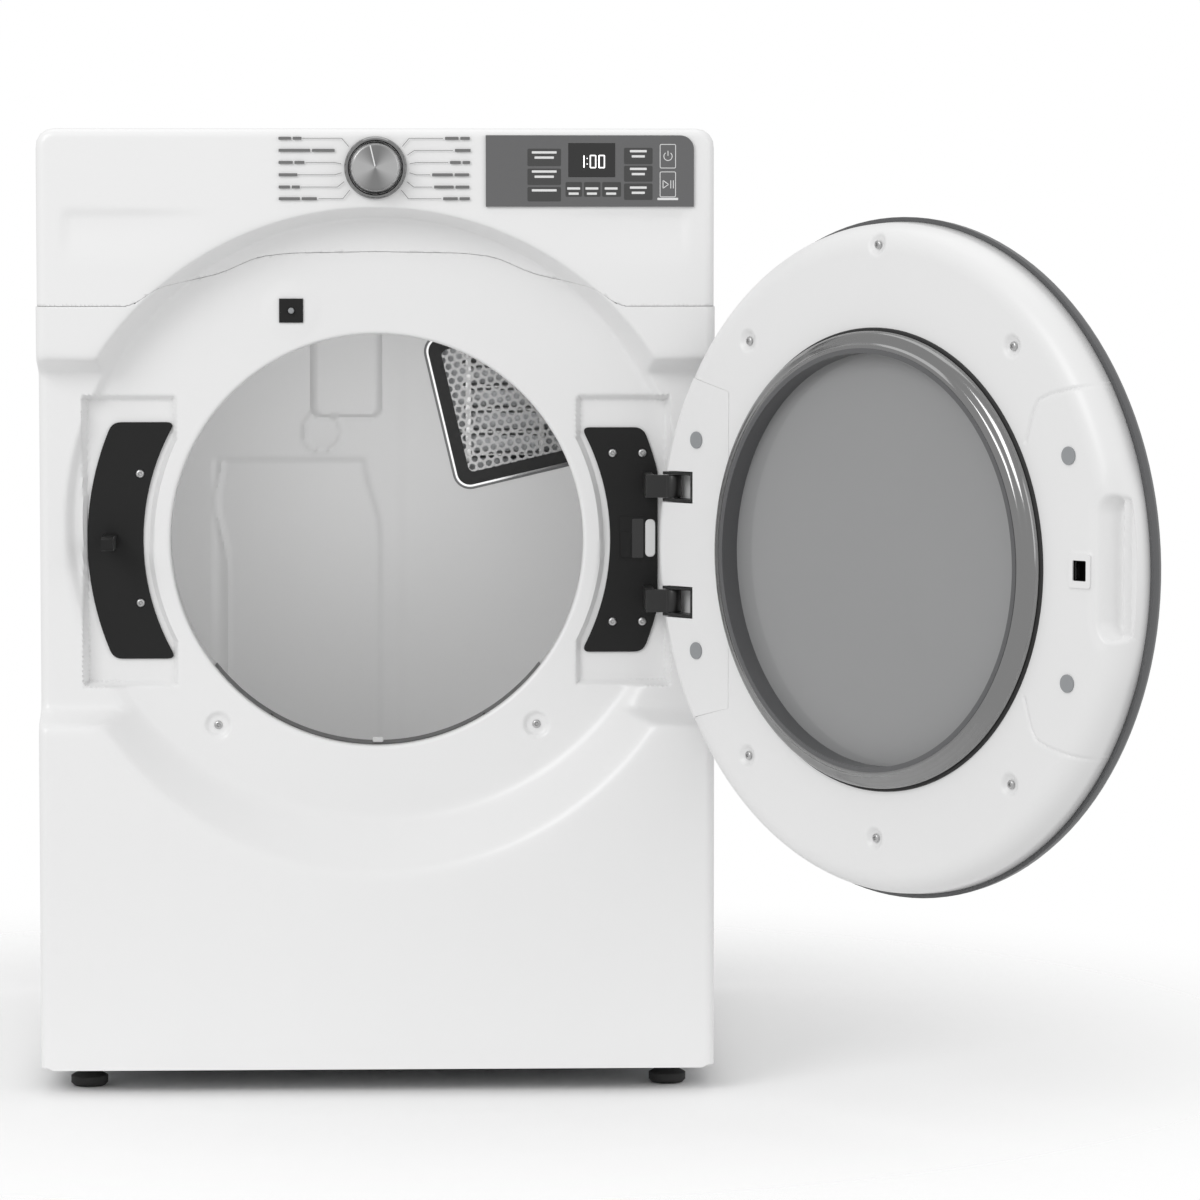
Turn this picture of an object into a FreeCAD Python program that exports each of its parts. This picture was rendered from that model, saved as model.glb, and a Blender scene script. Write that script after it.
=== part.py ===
"""Clothes dryer: cabinet, drum and air system, and a round door that stands open.

Millimetres. +Z is up, the front faces -Y and +X is the right-hand side seen from the front.
The origin is the middle of the cabinet's underside, so the levelling feet reach below it.
Every piece of the door is drawn shut and then swung open about the hinge axis.
"""
import FreeCAD, Part
import Sketcher
import math
import os
import re

SIZES = {
    # cabinet
    "cabinet_width": 686, "cabinet_depth": 745, "cabinet_height": 957, "sheet": 1.5,
    "front_wall": 2.5, "return_depth": 54, "front_edge": 9, "top_corner": 18,
    "console_inset": 1.2, "seam_gap": 0.6, "seam_height": 777.6, "top_cap": 20,
    "foot_height": 24, "foot_radius": 19, "foot_inset_side": 45, "foot_inset_end": 70,
    # recess, door opening and finger scoops in the front
    "dish_radius": 338.7, "dish_floor_radius": 309, "dish_depth": 50, "dish_floor_rise": 21,
    "opening_radius": 210.7, "opening_height": 538.5, "scoop_depth": 38, "scoop_half": 173,
    "scoop_slope": 13, "pocket_depth": 58, "pocket_half": 149, "pocket_inner": 203,
    "pocket_outer": 300, "rib_radius": 227.5, "dimple_radius": 13, "dimple_depth": 4,
    "low_screw_side": 162.9, "low_screw_height": 349.5, "screw_head": 2.6, "screw_hole": 2.4,
    "plate_gauge": 3, "plate_inner": 238.5,
    "plate_outer": 295.5, "latch_half": 121, "hinge_half": 115.2, "hinge_plate_side": 287.2,
    # console
    "knob_height": 917.3, "knob_radius": 26.4, "knob_length": 22, "bezel_radius": 31.5,
    "overlay_left": 111, "overlay_right": 321, "overlay_low": 878.2, "overlay_high": 950,
    "overlay_gauge": 2, "display_left": 194.4, "display_right": 241.3, "display_low": 908.1,
    "display_high": 941.9,
    # door and hinge
    "door_angle": 129.24, "hinge_side": 300, "hinge_out": 12.5, "panel_out": 4.1,
    "door_height": 536, "door_radius": 330.5, "panel_edge": 314, "panel_wall": 2.5,
    "skirt_radius": 326, "skirt_depth": 36, "rim_face": 55.5, "window_radius": 235,
    "glass_radius": 212, "trim_radius": 221.4, "trim_inner": 200, "trim_rise": 16.4,
    "arm_spread": 58, "arm_half": 11.5, "pin_radius": 3, "knuckle_radius": 8,
    "tongue_side": 271.5, "tongue_width": 12.2, "tongue_tall": 14.2, "tongue_reach": 10,
    # drum and its bulkheads
    "drum_radius": 322, "drum_gauge": 1.5, "drum_front": -250, "drum_rear": 298,
    "bulkhead_gauge": 3, "bulkhead_gap": 2, "bulkhead_half": 334, "seal_radius": 320, "seal_gauge": 4,
    "collar_radius": 213, "baffle_rise": 48, "roller_radius": 35, "roller_width": 22,
    "axle_radius": 5, "roller_swing": 30,
    # rear wall and air inlet
    "grille_left": 85.4, "grille_low": 556.9, "grille_width": 165, "grille_tall": 182,
    "grille_tilt": 13.3, "grille_corner": 20, "heater_depth": 52,
    # blower, motor and exhaust
    "motor_side": 70, "motor_height": 115, "motor_radius": 60, "shaft_radius": 6,
    "pulley_radius": 12, "shaft_end": -50, "wheel_radius": 82, "scroll_radius": 92,
    "scroll_front": -262, "scroll_rear": -196, "duct_radius": 51, "duct_side": -70,
    "duct_height": 64, "duct_tail": 20, "idler_radius": 20, "idler_pivot_side": 4,
    "idler_pivot_height": 34, "belt_width": 9, "belt_gauge": 1.5,
    # lint filter and its duct
    "lint_half": 122, "lint_front": -316, "lint_rear": -262, "filter_half": 108,
    "filter_thick": 11, "filter_low": 150, "filter_middle": -290,
    # clearances
    "running": 0.05, "air_gap": 0.4,
}

doc = FreeCAD.newDocument("clothes_dryer")
sheet = doc.addObject("Spreadsheet::Sheet", "sizes")
for row, (alias, value) in enumerate(SIZES.items(), start=1):
    sheet.set(f"A{row}", alias)
    sheet.set(f"B{row}", str(value))
    sheet.setAlias(f"B{row}", alias)
doc.recompute()

WORD = re.compile(r"\b[a-z][a-z_]+\b(?!\()")
FRONT = "(0 - cabinet_depth / 2)"       # y of the front face
REAR = "(cabinet_depth / 2)"            # y of the back of the cabinet
HINGE_Y = f"({FRONT} - hinge_out)"      # y of the door's hinge axis
UP_Z = FreeCAD.Vector(0, 0, 1)
ALONG_Y = FreeCAD.Rotation(FreeCAD.Vector(1, 0, 0), -90)    # turns +Z to +Y
subparts = []


# ---------------------------------------------------------------- drawing helpers
def bound(text):
    """An expression in the sheet's words, with the sheet's name put before each."""
    return WORD.sub(lambda word: "sizes." + word.group(), text)


def size(text):
    """The present value of an expression, for sizes that are picked by code."""
    return float(measured(text))


def measured(text):
    """A plain number from the sheet's words, for Part's own functions."""
    probe = sheet.evalExpression(bound(text))
    return probe.Value if hasattr(probe, "Value") else probe


def inward(depth):
    """The y that lies this deep behind the front face."""
    return f"{FRONT} + {depth}"


def place(thing, x="0", y="0", z="0"):
    """Binds where a primitive stands."""
    for letter, text in zip("xyz", (x, y, z)):
        thing.setExpression(f"Placement.Base.{letter}", bound(text))
    return thing


def box(name, x, y, z):
    """A block between a low and a high expression on each axis."""
    block = doc.addObject("Part::Box", name)
    for side, letter, (low, high) in zip(("Length", "Width", "Height"), "xyz", (x, y, z)):
        block.setExpression(side, bound(f"({high}) - ({low})"))
        block.setExpression(f"Placement.Base.{letter}", bound(low))
    return block


def rod(name, x, y, z, radius, length, turn=ALONG_Y):
    """A cylinder that starts at a point and runs along +Y, or as turned."""
    cylinder = doc.addObject("Part::Cylinder", name)
    cylinder.Placement = FreeCAD.Placement(FreeCAD.Vector(), turn)
    cylinder.setExpression("Radius", bound(radius))
    cylinder.setExpression("Height", bound(length))
    return place(cylinder, x, y, z)


UPRIGHT = FreeCAD.Rotation()


def cut(name, base, *tools):
    """The base with every tool taken out of it."""
    result = doc.addObject("Part::Cut", name)
    result.Base = base
    result.Tool = tools[0] if len(tools) == 1 else fuse(name + "_tools", *tools)
    return result


def fuse(name, *pieces):
    """The pieces joined, or left side by side where they are apart."""
    result = doc.addObject("Part::MultiFuse", name)
    result.Shapes = list(pieces)
    return result


def common(name, first, second):
    """What two solids share."""
    result = doc.addObject("Part::Common", name)
    result.Base, result.Tool = first, second
    return result


def tube(name, x, y, z, outer, inner, length, turn=ALONG_Y):
    """A round tube along +Y, or as turned; the bore runs past both ends."""
    solid = rod(name + "_outside", x, y, z, outer, length, turn)
    bore = rod(name + "_bore", x, y, z, inner, length, turn)
    return cut(name, solid, bore)


def outline(body, plane, points):
    """A closed outline of straight lines on one of the body's own planes, each corner bound."""
    sketch = body.newObject("Sketcher::SketchObject", body.Name + "_outline")
    origin = [f for f in body.Origin.OriginFeatures if f.Role == plane][0]
    sketch.AttachmentSupport = [(origin, "")]
    sketch.MapMode = "FlatFace"
    spots = [FreeCAD.Vector(size(a), size(b), 0) for a, b in points]
    for start, end in zip(spots, spots[1:] + spots[:1]):
        sketch.addGeometry(Part.LineSegment(start, end), False)
    count = len(points)
    for line in range(count):
        sketch.addConstraint(Sketcher.Constraint("Coincident", line, 2, (line + 1) % count, 1))
    for line, (a, b) in enumerate(points):
        for kind, text, value in (("DistanceX", a, spots[line].x), ("DistanceY", b, spots[line].y)):
            number = sketch.addConstraint(Sketcher.Constraint(kind, -1, 1, line, 1, value))
            sketch.setExpression(f"Constraints[{number}]", bound(text))
    doc.recompute()
    return sketch


def turned(name, points, x="0", y="0", z="0", turn=ALONG_Y):
    """A body of revolution: radius and height pairs, spun about +Z, then laid along +Y."""
    body = doc.addObject("PartDesign::Body", name)
    sketch = outline(body, "XZ_Plane", points)
    spin = body.newObject("PartDesign::Revolution", name + "_spin")
    spin.Profile = sketch
    spin.ReferenceAxis = (sketch, ["V_Axis"])
    spin.Angle = 360
    body.Tip = spin
    body.Placement = FreeCAD.Placement(FreeCAD.Vector(), turn)
    return place(body, x, y, z)


def pressed(name, plane, points, length, x="0", y="0", z="0"):
    """A body padded from an outline on its own plane."""
    body = doc.addObject("PartDesign::Body", name)
    sketch = outline(body, plane, points)
    pad = body.newObject("PartDesign::Pad", name + "_pad")
    pad.Profile = sketch
    pad.setExpression("Length", bound(length))
    body.Tip = pad
    return place(body, x, y, z)


def rounded(name, base, radius, chosen):
    """Rounds the base's straight edges whose middle and direction the test accepts."""
    doc.recompute()
    result = doc.addObject("Part::Fillet", name)
    result.Base = base
    edges = []
    for number, edge in enumerate(base.Shape.Edges, start=1):
        way = edge.tangentAt(edge.FirstParameter)
        if chosen(edge.BoundBox.Center, way):
            edges.append((number, size(radius), size(radius)))
    result.Edges = edges
    return result


def sub_part(label, thing):
    """Names a finished piece as a sub-part."""
    thing.Label = label
    subparts.append(thing)
    return thing


def door_part(label, thing):
    """A door piece drawn shut, held in a compound that is swung open about the hinge axis."""
    thing.Label = label + "_shut"
    holder = doc.addObject("Part::Compound", label + "_open")
    holder.Links = [thing]
    holder.Placement = FreeCAD.Placement(FreeCAD.Vector(), FreeCAD.Rotation(UP_Z, 10))
    holder.setExpression("Placement.Rotation.Angle", "sizes.door_angle * 1 deg")
    turn_x = f"hinge_side - hinge_side * cos(door_angle) + {HINGE_Y} * sin(door_angle)"
    turn_y = f"{HINGE_Y} - hinge_side * sin(door_angle) - {HINGE_Y} * cos(door_angle)"
    holder.setExpression("Placement.Base.x", bound(turn_x))
    holder.setExpression("Placement.Base.y", bound(turn_y))
    return sub_part(label, holder)


# ---------------------------------------------------------------- cabinet sheet metal
def make_cabinet():
    half = "cabinet_width / 2"
    inside = f"({half} - sheet)"
    behind = inward("return_depth")
    tray = box("tray", (f"0 - {inside}", inside), (behind, f"{REAR} - sheet"), ("0", "36"))
    hollow = box("tray_hollow", (f"2 - {inside}", f"{inside} - 2"),
                 (f"{behind} + 2", f"{REAR} - sheet - 2"), ("2", "40"))
    duct_notch = rod("duct_notch", "duct_side", f"{REAR} - 20", "duct_height", "duct_radius + 1", "30")
    stud_holes = [rod(f"stud_hole_{number}", x, y, "0 - 1", "5.3", "5", UPRIGHT)
                  for number, (x, y) in enumerate(foot_places())]
    sub_part("base_pan", cut("base_pan", tray, hollow, duct_notch, *stud_holes))

    for side, sign in (("left", -1), ("right", 1)):
        low, high = (f"0 - {half}", f"0 - {inside}") if sign < 0 else (inside, half)
        wall = box(side + "_wall", (low, high), (behind, REAR), ("0", "cabinet_height - top_cap"))
        low, high = (f"0 - {inside}", f"0 - {inside} + 16") if sign < 0 else (f"{inside} - 16", inside)
        flange = box(side + "_flange", (low, high), (f"{behind} + 3", f"{behind} + 4.5"),
                     ("40", "cabinet_height - top_cap - 2"))
        sub_part(side + "_side_panel", fuse(side + "_side_panel", wall, flange))

    back = box("back_sheet", (f"0 - {inside}", inside), (f"{REAR} - sheet", REAR),
               ("0", "cabinet_height - top_cap"))
    holes = [rod("duct_hole", "duct_side", f"{REAR} - 10", "duct_height", "duct_radius + 1", "20")]
    holes.append(box("terminal_hole", ("190", "262"), (f"{REAR} - 10", f"{REAR} + 10"), ("60", "150")))
    for row in range(6):
        z = f"{300 + row * 22}"
        holes.append(box(f"louvre_{row}", ("0 - 250", "0 - 130"), (f"{REAR} - 10", f"{REAR} + 10"),
                         (z, f"{z} + 7")))
    sub_part("rear_panel", cut("rear_panel", back, *holes))

    lid = box("lid", (f"0 - {half}", half), (behind, REAR),
              ("cabinet_height - top_cap", "cabinet_height"))
    soft_lid = rounded("soft_lid", lid, "6", lambda middle, way:
                       abs(way.z) < 0.1 and middle.z > size("cabinet_height") - 1
                       and middle.y > size(behind) + 1)
    under = box("lid_hollow", (f"2 - {half}", f"{half} - 2"), (f"{behind} - 1", f"{REAR} - 2"),
                ("cabinet_height - top_cap - 1", "cabinet_height - 2"))
    sub_part("top_panel", cut("top_panel", soft_lid, under))

    cover = box("terminal_box", ("184", "268"), (REAR, f"{REAR} + 9"), ("54", "156"))
    inner = box("terminal_space", ("187", "265"), (f"{REAR} - 1", f"{REAR} + 6"), ("57", "153"))
    cord_hole = rod("cord_hole", "226", f"{REAR} + 3", "52", "3.5", "8", UPRIGHT)
    sub_part("terminal_cover", cut("terminal_cover", cover, inner, cord_hole))


def foot_places():
    """Where the four feet stand: front left, front right, rear left, rear right."""
    side = "(cabinet_width / 2 - foot_inset_side)"
    end = "(cabinet_depth / 2 - foot_inset_end)"
    return [(f"0 - {side}", f"0 - {end}"), (side, f"0 - {end}"), (f"0 - {side}", end), (side, end)]


def make_feet():
    names = ("front_left_foot", "front_right_foot", "rear_left_foot", "rear_right_foot")
    for name, (x, y) in zip(names, foot_places()):
        points = [("0", "0 - foot_height"), ("foot_radius - 3", "0 - foot_height"),
                  ("foot_radius", "3 - foot_height"), ("foot_radius", "10 - foot_height"),
                  ("9", "16 - foot_height"), ("9", "0 - 3"), ("5", "0 - 3"), ("5", "26"), ("0", "26")]
        sub_part(name, turned(name, points, x, y, "0", UPRIGHT))


# ---------------------------------------------------------------- front shell
def dish(name, grow):
    """The round recess behind the door: its floor is smaller and sits higher than its mouth."""
    sections = []
    for end, depth, radius, rise in (("mouth", "0 - 5", "dish_radius + 3.15", "0 - 2.1"),
                                     ("floor", "dish_depth", "dish_floor_radius", "dish_floor_rise")):
        circle = doc.addObject("Part::Circle", f"{name}_{end}")
        circle.Placement = FreeCAD.Placement(FreeCAD.Vector(), ALONG_Y)
        circle.setExpression("Radius", bound(f"{radius} + {grow}"))
        deeper = grow if end == "floor" else "0"
        place(circle, "0", inward(f"{depth} + {deeper}"), f"opening_height + {rise}")
        sections.append(circle)
    loft = doc.addObject("Part::Loft", name)
    loft.Sections, loft.Solid, loft.Ruled = sections, True, True
    return loft


def scoops(name, grow):
    """The two finger scoops beside the door, cut straight across the cabinet."""
    mouth = f"(scoop_half + scoop_slope + {grow})"
    floor = f"(scoop_half + {grow})"
    points = [(inward("0 - 5"), f"0 - {mouth}"), (inward("6"), f"0 - {mouth}"),
              (inward(f"scoop_depth + {grow}"), f"0 - {floor}"),
              (inward(f"scoop_depth + {grow}"), floor), (inward("6"), mouth),
              (inward("0 - 5"), mouth)]
    return pressed(name, "YZ_Plane", points, "cabinet_width + 20", "0 - cabinet_width / 2 - 10", "0",
                   "opening_height")


def side_pocket(name, sign, grow):
    """The pocket that holds the latch plate or the hinge plate: a bay outside the opening's rib."""
    near, far = f"(pocket_inner - {grow})", f"(pocket_outer + {grow})"
    x = (near, far) if sign > 0 else (f"0 - {far}", f"0 - {near}")
    bay = box(name + "_bay", x, (inward("dish_depth - 6"), inward(f"pocket_depth + {grow}")),
              (f"opening_height - pocket_half - {grow}", f"opening_height + pocket_half + {grow}"))
    rib = rod(name + "_rib", "0", inward("dish_depth - 10"), "opening_height",
              f"rib_radius - {grow}", "40")
    return cut(name, bay, rib)


def dimples(name, grow):
    """The two shallow round dimples in the recess's floor that the lower screws sit in."""
    return [rod(f"{name}_{number}", x, inward("dish_depth - 10"), z, f"dimple_radius + {grow}",
                f"10 + dimple_depth + {grow}")
            for number, (x, z) in enumerate(screw_places()[:2])]


def front_block(name, inset, back):
    """The front's outer block, its side and top edges rounded."""
    half = f"(cabinet_width / 2 - {inset})"
    block = box(name + "_block", (f"0 - {half}", half), (FRONT, back), ("0", "cabinet_height"))
    crowned = rounded(name + "_crowned", block, "top_corner", lambda middle, way:
                      abs(way.y) > 0.9 and middle.z > size("cabinet_height") - 1)
    return rounded(name, crowned, "front_edge", lambda middle, way:
                   abs(way.z) > 0.9 and middle.y < size(FRONT) + 1)


def console_side(name, gap):
    """The region above the seam: level at both sides and arched over the door recess."""
    steps = [(246, 0), (222, 16.4), (159, 26.6), (128.5, 47.6), (88, 53), (0, 55.2)]
    right = [(f"{x}", f"seam_height + {rise} + {gap}") for x, rise in steps]
    left = [(f"0 - {x}", z) for (x, _), (_, z) in zip(steps[:-1], right[:-1])]
    points = ([("0 - 400", f"seam_height + {gap}")] + left + right[::-1]
              + [("400", f"seam_height + {gap}"), ("400", "1100"), ("0 - 400", "1100")])
    return pressed(name, "XZ_Plane", points, "120", "0", inward("100"), "0")


def make_front():
    back = inward("return_depth")
    hollow_x = "(cabinet_width / 2 - front_wall - console_inset)"
    cavity = box("front_cavity", (f"0 - {hollow_x}", hollow_x), (inward("front_wall"), inward("90")),
                 ("front_wall", "cabinet_height - front_wall"))
    crowned_cavity = rounded("crowned_cavity", cavity, "top_corner - front_wall", lambda middle, way:
                             abs(way.y) > 0.9 and middle.z > size("cabinet_height") - 5)
    soft_cavity = rounded("soft_cavity", crowned_cavity, "front_edge - front_wall", lambda middle, way:
                          abs(way.z) > 0.9 and middle.y < size(FRONT) + 5)
    skins = [dish("dish_skin", "front_wall"), scoops("scoop_skin", "front_wall"),
             side_pocket("latch_skin", -1, "front_wall"), side_pocket("hinge_skin", 1, "front_wall")]
    skins += dimples("dimple_skin", "front_wall")
    solid_core = cut("front_hollow", soft_cavity, *skins)
    hollows = [dish("dish", "0"), scoops("scoops", "0"), side_pocket("latch_pocket", -1, "0"),
               side_pocket("hinge_pocket", 1, "0")]
    hollows += dimples("dimple", "0")
    hollows.append(rod("opening", "0", inward("0 - 5"), "opening_height", "opening_radius", "120"))
    hollows += arm_windows("arm_hole", "0 - 2", inward("dish_depth"), inward("90"))
    for number, (x, z) in enumerate(screw_places()):
        hollows.append(rod(f"screw_hole_{number}", x, inward("0 - 10"), z, "screw_hole", "90"))
    hollows.append(box("tongue_hole", ("0 - tongue_side - 7", "7 - tongue_side"),
                       (inward("dish_depth"), inward("90")),
                       ("opening_height - 8", "opening_height + 8")))
    hollows.append(box("switch_hole", ("0 - 99.2", "0 - 74.2"), (inward("dish_depth - 5"), inward("90")),
                       ("760.6", "785.6")))
    hollows.append(rod("knob_hole", "0", inward("0 - 5"), "knob_height", "12", "60"))
    hollows.append(box("overlay_seat", ("overlay_left - air_gap", "overlay_right + air_gap"),
                       (inward("0 - 5"), inward("overlay_gauge")),
                       ("overlay_low - air_gap", "overlay_high + air_gap")))
    for label, inset, region in (("front_panel", "0", "low"), ("console_fascia", "console_inset", "high")):
        block = front_block(label + "_outer", inset, back)
        shell = cut(label + "_shell", block, solid_core, *hollows)
        above = console_side(label + "_above", "seam_gap" if region == "high" else "0")
        kept = cut(label, shell, above) if region == "low" else common(label, shell, above)
        sub_part(label, kept)


def screw_places():
    """The screws that show on the front: two below the opening, two and four on the plates."""
    low = [(f"{side} * low_screw_side", "low_screw_height") for side in (-1, 1)]
    latch = [("0 - 241.6", f"opening_height + {rise}") for rise in (68.4, -63.6)]
    hinge = [(f"{x}", f"opening_height + {rise}") for x in (240.9, 271.4) for rise in (88.9, -84)]
    return low + latch + hinge


def screw(name, x, y, z, head="5.6"):
    """A pan-head screw that points inward along +Y, its head's face at y."""
    points = [("0", "0"), (f"{head} - 1.4", "0"), (head, "1.4"), (head, "2.6"), ("2", "2.6"),
              ("2", "15"), ("0", "15")]
    return turned(name, points, x, y, z)


def make_front_screws():
    screws = []
    for number, (x, z) in enumerate(screw_places()):
        seat = "dish_depth + dimple_depth" if number < 2 else "pocket_depth - plate_gauge"
        screws.append(screw(f"front_screw_{number}", x, inward(f"{seat} - screw_head"), z))
    sub_part("front_screws", fuse("front_screws", *screws))


# ---------------------------------------------------------------- latch and hinge plates
def plate(name, sign, half, side):
    """A flat plate between two arcs about the opening, with its screw holes."""
    ring = tube(name + "_ring", "0", inward("pocket_depth - plate_gauge"), "opening_height",
                "plate_outer", "plate_inner", "plate_gauge")
    x = ("200", side) if sign > 0 else (f"0 - {side}", "0 - 200")
    window = box(name + "_window", x, (inward("pocket_depth - 20"), inward("pocket_depth + 20")),
                 (f"opening_height - {half}", f"opening_height + {half}"))
    holes = [rod(f"{name}_hole_{number}", x, inward("40"), z, "screw_hole", "40")
             for number, (x, z) in enumerate(screw_places())]
    return common(name + "_blank", ring, window), holes


def arm_windows(name, grow, front, back):
    """The two windows that the hinge arms come through."""
    return [box(f"{name}_{number}", (f"259 - ({grow})", f"287 + ({grow})"), (front, back),
                (f"opening_height + {sign} * arm_spread - arm_half - 1 - ({grow})",
                 f"opening_height + {sign} * arm_spread + arm_half + 1 + ({grow})"))
            for number, sign in enumerate((-1, 1))]


def make_plates():
    blank, holes = plate("latch_plate", -1, "latch_half", "plate_outer")
    slot = box("tongue_slot", ("0 - tongue_side - tongue_width / 2", "tongue_width / 2 - tongue_side"),
               (inward("40"), inward("80")),
               ("opening_height - tongue_tall / 2", "opening_height + tongue_tall / 2"))
    sub_part("latch_plate", cut("latch_plate", blank, slot, *holes[:4]))

    blank, holes = plate("hinge_plate", 1, "hinge_half", "hinge_plate_side")
    windows = arm_windows("arm_window", "0", inward("40"), inward("80"))
    slot = box("spare_slot", ("261", "272.5"), (inward("40"), inward("80")), ("520", "560"))
    sub_part("hinge_plate", cut("hinge_plate", blank, slot, *windows, *holes[4:]))

    nose = box("tongue_bar", ("0 - tongue_side - tongue_width / 2", "tongue_width / 2 - tongue_side"),
               (inward("0 - tongue_reach"), inward("pocket_depth + front_wall")),
               ("opening_height - tongue_tall / 2", "opening_height + tongue_tall / 2"))
    soft_nose = rounded("soft_nose", nose, "3", lambda middle, way:
                        abs(way.x) > 0.9 and middle.y < size(FRONT))
    foot = box("tongue_foot", ("0 - tongue_side - 16", "16 - tongue_side"),
               (inward("pocket_depth + front_wall"), inward("pocket_depth + front_wall + 3")),
               ("opening_height - 24", "opening_height + 24"))
    sub_part("latch_tongue", fuse("latch_tongue", soft_nose, foot))


def make_hinge_bracket():
    """Two goose-neck arms on one strap: each leaves its window and reaches the pin."""
    behind = inward("pocket_depth + front_wall")
    pieces = [box("strap", ("256", "292"), (behind, f"{behind} + 3"),
                  ("opening_height - 82", "opening_height + 82"))]
    bores = []
    for number, sign in enumerate((-1, 1)):
        low = f"opening_height + {sign} * arm_spread - arm_half"
        high = f"opening_height + {sign} * arm_spread + arm_half"
        pieces.append(box(f"arm_leg_{number}", ("272", "281"), (f"{HINGE_Y} - 4.5", behind), (low, high)))
        pieces.append(box(f"arm_reach_{number}", ("272", "hinge_side"),
                          (f"{HINGE_Y} - 4.5", f"{HINGE_Y} + 4.5"), (low, high)))
        pieces.append(rod(f"knuckle_{number}", "hinge_side", HINGE_Y, low, "knuckle_radius",
                          "2 * arm_half", UPRIGHT))
        bores.append(rod(f"pin_bore_{number}", "hinge_side", HINGE_Y, f"{low} - 1",
                         "pin_radius + running", "2 * arm_half + 2", UPRIGHT))
    sub_part("hinge_arms", cut("hinge_arms", fuse("arm_blank", *pieces), *bores))


def make_door_switch():
    front = inward("dish_depth - 3")
    case = box("switch_case", ("0 - 98.9", "0 - 74.5"), (front, inward("dish_depth + 22")),
               ("760.9", "785.3"))
    bore = rod("switch_bore", "0 - 86.7", inward("dish_depth - 5"), "773.1", "3.4", "14")
    sub_part("door_switch_housing", cut("door_switch_housing", case, bore))
    points = [("0", "0"), ("2.2", "0"), ("3", "0.8"), ("3", "10"), ("0", "10")]
    sub_part("door_switch_plunger", turned("door_switch_plunger", points, "0 - 86.7",
                                           inward("dish_depth - 7"), "773.1"))


# ---------------------------------------------------------------- console
def make_console():
    face = inward("0 - 0.6")
    panel = box("overlay_sheet", ("overlay_left", "overlay_right"),
                (face, inward("overlay_gauge")), ("overlay_low", "overlay_high"))
    soft_panel = rounded("soft_overlay", panel, "14", lambda middle, way:
                         abs(way.y) > 0.9 and middle.x > 300 and middle.z > 940)
    window = box("display_seat", ("display_left - 0.2", "display_right + 0.2"),
                 (f"{face} - 1", inward("1")), ("display_low - 0.2", "display_high + 0.2"))
    sub_part("control_overlay", cut("control_overlay", soft_panel, window))
    sub_part("display_window", box("display_window", ("display_left", "display_right"),
                                   (face, inward("1")), ("display_low", "display_high")))

    points = [("knob_radius + 0.6", "0 - 4"), ("bezel_radius - 2", "0 - 4"), ("bezel_radius", "0 - 2"),
              ("bezel_radius", "0"), ("12.6", "0"), ("12.6", "0 - 1.2"), ("knob_radius + 0.6", "0 - 1.2")]
    sub_part("knob_bezel", turned("knob_bezel", points, "0", FRONT, "knob_height"))
    points = [("0", "0 - knob_length"), ("knob_radius - 3", "0 - knob_length"),
              ("knob_radius - 0.8", "2 - knob_length"), ("knob_radius", "0 - 2"), ("11.6", "0 - 2"),
              ("11.6", "10"), ("3.2", "10"), ("3.2", "34"), ("0", "34")]
    sub_part("control_knob", turned("control_knob", points, "0", FRONT, "knob_height"))

    board = box("board", ("0 - 40", "300"), (inward("36"), inward("37.6")), ("874", "946"))
    relay = box("relay", ("90", "112"), (inward("37.6"), inward("52")), ("884", "906"))
    timer = tube("encoder", "0", inward("28"), "knob_height", "11", "3.2 + air_gap", "8")
    sub_part("control_board", cut("control_board", fuse("board_blank", board, relay, timer),
                                  rod("spindle_hole", "0", inward("20"), "knob_height",
                                      "3.2 + air_gap", "40")))


# ---------------------------------------------------------------- drum and bulkheads
def make_drum():
    length = "drum_rear - drum_front"
    points = [("drum_radius - drum_gauge", "0"), ("drum_radius", "0"), ("drum_radius", length),
              ("drum_radius - drum_gauge", length)]
    sub_part("drum_shell", turned("drum_shell", points, "0", "drum_front", "opening_height"))
    fins = []
    for number in range(3):
        fin = pressed(f"baffle_{number}", "XZ_Plane", [
            ("0 - 34", "0 - drum_radius + drum_gauge + 2.2"), ("34", "0 - drum_radius + drum_gauge + 2.2"),
            ("9", "0 - drum_radius + baffle_rise"), ("0 - 9", "0 - drum_radius + baffle_rise")],
            f"{length} - 70")
        fin.Placement = FreeCAD.Placement(FreeCAD.Vector(),
                                          FreeCAD.Rotation(FreeCAD.Vector(0, 1, 0), 45 + 120 * number))
        fins.append(place(fin, "0", "drum_rear - 35", "opening_height"))
    sub_part("drum_baffles", fuse("drum_baffles", *fins))


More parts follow.
